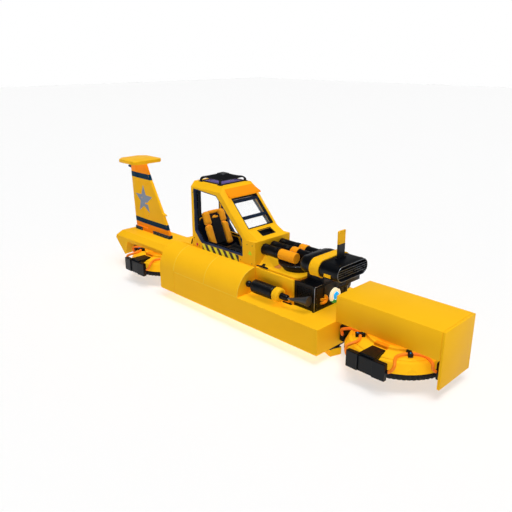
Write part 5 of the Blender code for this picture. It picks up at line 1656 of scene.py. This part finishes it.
def hoseHalf(reach):
    # Out of a block's end, up over the shoulder, and in flat under the clip on the diagonal.
    return [(reach - 0.092, 0.378, -0.262), (reach - 0.095, 0.410, -0.246), (reach - 0.117, 0.452, -0.190),
            (0.882, 0.458, -0.128), (0.805, 0.412, -0.098), (0.705, 0.378, -0.082), (0.605, 0.400, -0.078),
            (0.535, 0.440, -0.078)]


def makePadHoses(name, centre, pads):
    clip = {"x": (-0.085, 0.085), "y": (-0.040, 0.040), "place": 0.478,
            "levels": ((0.0, -0.105), (0.0, -0.046), (0.008, -0.038)),
            "lights": ((0.035, "Cyan"), (-0.035, "Green")),
            "ferrule": [(-0.020, 0.029), (-0.016, 0.034), (-0.002, 0.036), (0.008, 0.036)]}
    outline = roundedPlan(clip["x"], clip["y"], 0.012, 3)
    place = clip["place"]
    hoses, clips, ferrules = [], [], []
    lights = {"Cyan": [], "Green": []}
    for quarter in range(4):
        reach, nextReach = pads["reach"][quarter % 2], pads["reach"][1 - quarter % 2]
        fall = [(y, x, z) for x, y, z in reversed(hoseHalf(nextReach))]
        route = smoothPath(hoseHalf(reach) + [(0.484, 0.484, -0.078)] + fall, 80)
        path = [quartered(point, quarter, centre) for point in route]
        hoses.append(rod(path, pads["hose"], 14))
        # Clip where the hose crosses the diagonal.
        levels = []
        for inset, z in clip["levels"]:
            levels.append(([((a - b) / sqrt(2) + place, (a + b) / sqrt(2) + place)
                            for a, b in insetOutline(outline, inset)], z))
        clips.append(quarterShape(levels, quarter, centre))
        for along, colour in clip["lights"]:
            lights[colour].append((quartered((place + along, place + along, -0.037), quarter, centre),
                                   (0, 0, 1)))
        for end, inner in ((0, 1), (-1, -2)):
            ferrules.append(turned(clip["ferrule"], path[end], (path[end] - path[inner]).normalized(), 20))
    makePiece(name + "PadHoses", orangeHose, hoses, smooth=60)
    makePiece(name + "HoseClips", blackPlastic, clips, bevel=0.003)
    makePiece(name + "HoseFerrules", blackPlastic, ferrules)
    for colour, spots in lights.items():
        growTree(name + "ClipDots" + colour, clipDots[colour], spots, radius=0.010, height=0.6)


def makePadSkirt(name, centre, pads):
    # A ring of small rubber fingers, bulging between their seams.
    skirt = {"fingers": 72, "steps": 288}
    rings = []
    for a in turns(skirt["steps"]):
        bulge = abs(sin(skirt["fingers"] / 2 * a)) ** 0.6
        section = [(0.915 + 0.012 * bulge, -0.3205), (0.917 + 0.016 * bulge, -0.35),
                   (0.914 + 0.018 * bulge, -0.39), (0.905 + 0.015 * bulge, -0.4246), (0.885, -0.4246),
                   (0.872, -0.39), (0.868, -0.3205)]
        rings.append([centre + Vector((r * cos(a), r * sin(a), z)) for r, z in section])
    makePiece(name + "Skirt", padRubber, [(rings + [rings[0]], False)], stands=name + "_pad_skirt", smooth=50)


def makePadHub(name, centre, pads):
    # Seals under whatever carries the pad, and a ring of bolts between them.
    hub = {"seals": ((0.395, -0.048), (0.245, -0.045)), "bolts": 24, "boltRadius": 0.33}
    seals = [hoop(roundSection((z, radius), 0.008, 10), centre, upward, 96) for radius, z in hub["seals"]]
    makePiece(name + "HubSeals", blackPlastic, seals, smooth=60)
    r = hub["boltRadius"]
    bolts = [(centre + Vector((r * cos(a), r * sin(a), -0.0455)), (0, 0, 1)) for a in turns(hub["bolts"])]
    growTree(name + "HubBolts", alloyStuds, bolts, radius=0.009, height=0.6)


def makeFan(name, centre, pads):
    # Twisted blades on a domed hub. The whole fan turns inside the shell.
    fan = {"blades": 6, "root": 0.062, "tip": 0.50, "level": -0.27, "lean": (34, 17), "guard": -0.365,
           "hub": [(-0.325, 0.01), (-0.323, 0.04), (-0.315, 0.065), (-0.300, 0.079), (-0.232, 0.080),
                   (-0.222, 0.060), (-0.212, 0.03), (-0.208, 0.02), (-0.157, 0.02)],
           "hoops": {0.12: 36, 0.24: 48, 0.36: 60, 0.48: 72, 0.60: 84, 0.72: 90},
           "spoke": ((0.10, -0.373), (0.5, -0.373), (0.74, -0.370), (0.895, -0.335)),
           "cap": [(-0.385, 0.03), (-0.382, 0.10), (-0.376, 0.125), (-0.366, 0.125), (-0.362, 0.10)]}
    body = name + "_fan"
    makePiece(name + "FanHub", greyAlloy, [turned(fan["hub"], centre, upward, 40)], body=body,
              stands=name + "_lift_fan")
    blades = []
    for i in range(fan["blades"]):
        turn = Matrix.Rotation(2 * pi * i / fan["blades"], 3, "Z")
        rings = []
        for t in [step / 8 for step in range(9)]:
            radius = fan["root"] + (fan["tip"] - fan["root"]) * t
            chord = 0.045 + 0.030 * t - 0.022 * max(0.0, t - 0.85) / 0.15
            lean = Matrix.Rotation(radians(fan["lean"][0] - fan["lean"][1] * t), 3, "X")
            section = [lean @ Vector((0, chord * cos(a), 0.0045 * sin(a) + 0.006 * (1 - cos(a) ** 2)))
                       for a in turns(12)]
            rings.append([centre + turn @ Vector((radius, point.y, point.z + fan["level"]))
                          for point in section])
        blades.append((rings, True))
    makePiece(name + "FanBlades", greyAlloy, blades, body=body, smooth=60)
    # Guard below it: hoops on eight spokes, hung from the shell's inner wall.
    for radius, steps in fan["hoops"].items():
        growTree(name + "GuardHoop" + str(int(radius * 100)), blackHoops,
                 [(centre + Vector((0, 0, fan["guard"])), (0, 0, 1))], radius=radius, wire=0.006, steps=steps)
    guard = [rod([centre + Vector((r * cos(a), r * sin(a), z)) for r, z in fan["spoke"]], 0.008, 8)
             for a in turns(8, 0.5)]
    makePiece(name + "FanGuard", blackCoat, guard + [turned(fan["cap"], centre, upward, 40)], smooth=50)


def makePads():
    pads = {"places": (("front", -3.0), ("rear", 3.5)), "hose": 0.0275, "reach": (1.036, 0.9985),
            "shell": [(-0.0006, 0.02), (-0.0006, 0.218), (-0.006, 0.224), (-0.043, 0.240), (-0.047, 0.246),
                      (-0.047, 0.396), (-0.050, 0.402), (-0.082, 0.416), (-0.085, 0.422), (-0.085, 0.478),
                      (-0.080, 0.484), (-0.055, 0.490), (-0.051, 0.496), (-0.051, 0.562), (-0.055, 0.568),
                      (-0.090, 0.577), (-0.099, 0.585), (-0.118, 0.690), (-0.133, 0.785), (-0.138, 0.793),
                      (-0.152, 0.800), (-0.166, 0.850), (-0.177, 0.861), (-0.310, 0.925), (-0.3195, 0.930),
                      (-0.3195, 0.905), (-0.215, 0.845), (-0.168, 0.765), (-0.150, 0.50), (-0.132, 0.20),
                      (-0.130, 0.062), (-0.190, 0.060), (-0.190, 0.0225), (-0.160, 0.0225), (-0.1585, 0.002)]}
    for name, y in pads["places"]:
        for makePart in (makePadShell, makePadBlocks, makePadVents, makePadHoses, makePadSkirt, makePadHub,
                         makeFan):
            makePart(name, Vector((0, y, 0)), pads)
        print(name, "pad made")


clipDots = {"Cyan": studTree(cyanLens), "Green": studTree(greenMark)}
makePads()
